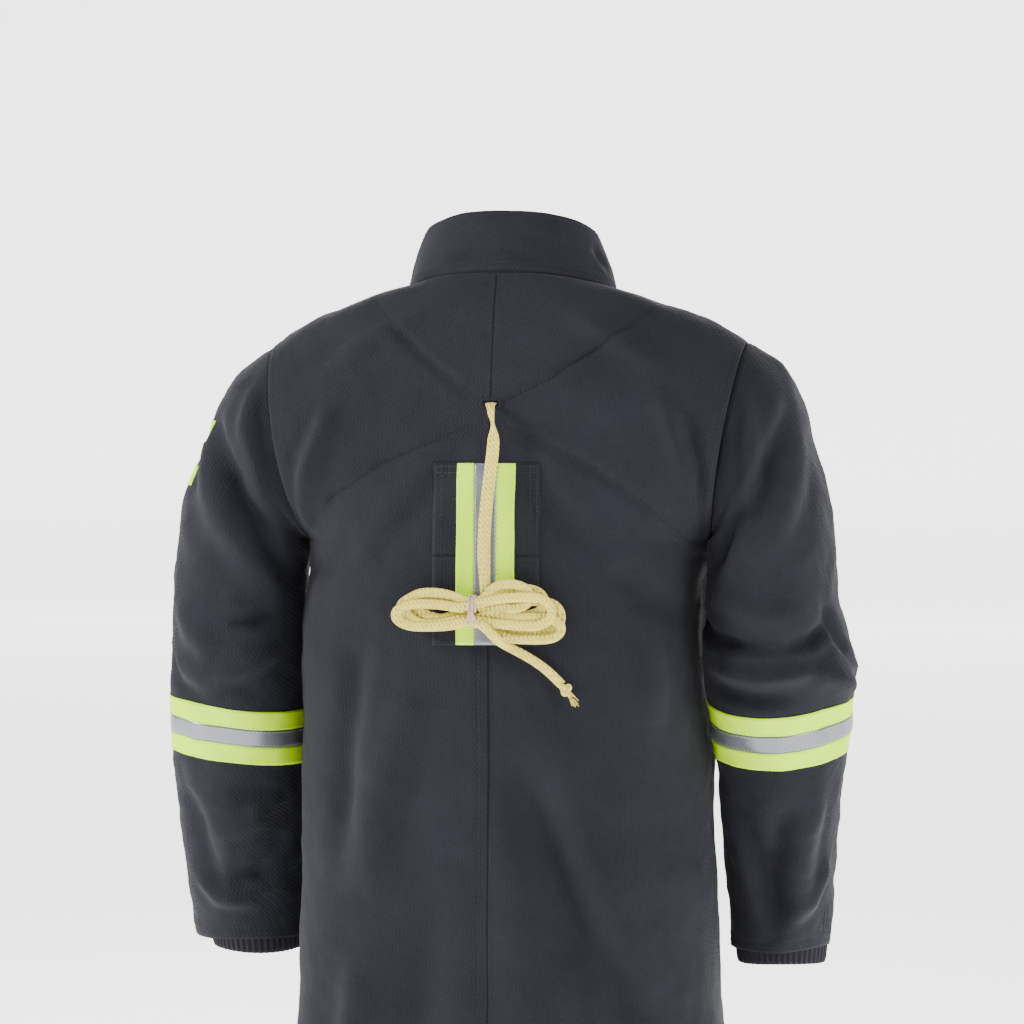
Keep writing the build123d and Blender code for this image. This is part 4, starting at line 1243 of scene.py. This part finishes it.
def pocket(side, s):
    """A bellows pocket, its flap and their hook and loop patches."""
    place, body, mirrored = pocket_side(s), side + "_pocket_flap", s < 0
    pad(side + "_pocket_front", place, (-52, 52), (-85, 85), (12.0, 14.0), CLOTH, side + "_pocket",
        rim=1.2, up=30, wave=0.25, mirrored=mirrored)
    gusset(side, s)
    stitch_on(place, [[(-48, 80), (-48, -81), (48, -81), (48, 80)], [(-50, 78), (50, 78)],
                      [(-50, 72), (50, 72)], [(-42, 70), (-42, -75), (42, -75), (42, 70)]],
              "coat", side + "_pocket_stitches", 14.15)
    pad(body + "_cloth", place, (-55, 55), (27, 109.5), (16.8, 18.9), CLOTH, body, body, rim=0.9, up=34,
        profile=cover, wave=0.2, mirrored=mirrored)
    stitch_on(place, [[(-52, 84), (-52, 30), (52, 30), (52, 84)], [(-46, 84), (-46, 36), (46, 36), (46, 84)]],
              body, side + "_flap_stitches", 19.0)
    pad(side + "_pocket_hook", place, (-30, 30), (42, 64), (15.7, 16.7), HOOK,
        side + "_pocket_hook_patch", body, rim=0.25, up=6, mirrored=mirrored)
    pad(side + "_pocket_loop", place, (-30, 30), (42, 64), (14.1, 15.2), HOOK, "pocket_loop_patches",
        rim=0.25, up=6, mirrored=mirrored)


for side, s in SIDES:
    closure(side, s)
    pocket(side, s)

# ------------------------------------------------------------------ throat tab
TAB_V = (18, 42)
pad("throat_tab_cloth", throat, (-32, 18), TAB_V, (2.6, 4.8), CLOTH, "throat_tab", "throat_tab",
    rim=0.8, up=12)
stitch_on(throat, [[(16, 20.5), (-29.5, 20.5), (-29.5, 39.5), (16, 39.5)]], "throat_tab",
          "throat_tab_stitches", 4.95)
pad("throat_root", throat, (19, 27), TAB_V, (0.4, 2.5), CLOTH, "throat_tab_root", up=12, across=5)

# Pieces whose CAD shape is already right get soft edges and a finish.
for name, mat, width in (("left_zip_teeth", BRASS, 0.3), ("right_zip_teeth", BRASS, 0.3),
                         ("zip_slider", BRASS, 0.5), ("zip_pull", BRASS, 0.4),
                         ("zip_stops", BRASS, 0.4), ("hanger_loop", HARNESS, 0.4),
                         ("throat_tab_hook_patch", HOOK, 0.25), ("throat_tab_loop_patch", HOOK, 0.25),
                         ("pocket_flap_roots", CLOTH, 0.6)):
    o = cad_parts[name]
    o.data.materials.clear()
    o.data.materials.append(mat)
    bevel = o.modifiers.new("soft_edges", "BEVEL")
    bevel.width = width * MM
    bevel.segments = 2
    bevel.limit_method = "ANGLE"
    bevel.angle_limit = 0.6

sewing.make("stitching", THREAD)
# The dark ribbons of painted seam shadow, as one mesh.
seam_shades.make("seam_shade_lines", SEAM_SHADE)

# ------------------------------------------------------------------ backdrop and light, in metres
white = material("backdrop_white", (0.93, 0.93, 0.93), 0.9, 0.0)
glow = white.node_tree.nodes["Principled BSDF"].inputs
glow["Emission Color"].default_value = (1, 1, 1, 1)
glow["Emission Strength"].default_value = 2.2
SWEEP = [(14, -1.06), (-12.0, -1.06), (-12.6, -1.0), (-12.9, -0.8), (-13.0, -0.4), (-13.0, 9)]
HALF_WALL = 16
paper = bpy.data.meshes.new("backdrop")
corners = [(x, y, z) for y, z in SWEEP for x in (-HALF_WALL, HALF_WALL)]
paper.from_pydata(corners, [], [(2 * i, 2 * i + 1, 2 * i + 3, 2 * i + 2) for i in range(len(SWEEP) - 1)])
paper.polygons.foreach_set("use_smooth", [True] * len(paper.polygons))
paper.materials.append(white)
add("backdrop", paper)

for name, place, energy, size in (("light_left", (2.5, 0.9, 0.9), 120, 0.7),
                                  ("light_right", (-2.5, 1.2, 0.5), 70, 0.9),
                                  ("light_top", (0.0, 0.5, 2.6), 30, 1.4),
                                  ("light_front", (0.6, -2.4, 1.0), 40, 1.4)):
    lamp = bpy.data.lights.new(name, "AREA")
    lamp.energy = energy
    lamp.size = size
    o = add(name, lamp)
    look_at(o, place, Vector((0, -0.076, -0.3)))

# The world is brighter to the camera than to the coat.
WORLD_LIGHT, WORLD_SEEN = 0.42, 2.0
world = bpy.data.worlds.new("studio")
scene.world = world
world.use_nodes = True
wires = world.node_tree
background = wires.nodes["Background"]
background.inputs[0].default_value = (0.93, 0.95, 1.0, 1)
rays = wires.nodes.new("ShaderNodeLightPath")
lift = node(wires, "Math", [(0, rays.outputs["Is Camera Ray"])], "MULTIPLY_ADD")
lift.inputs[1].default_value = WORLD_SEEN
lift.inputs[2].default_value = WORLD_LIGHT
wires.links.new(lift.outputs[0], background.inputs[1])
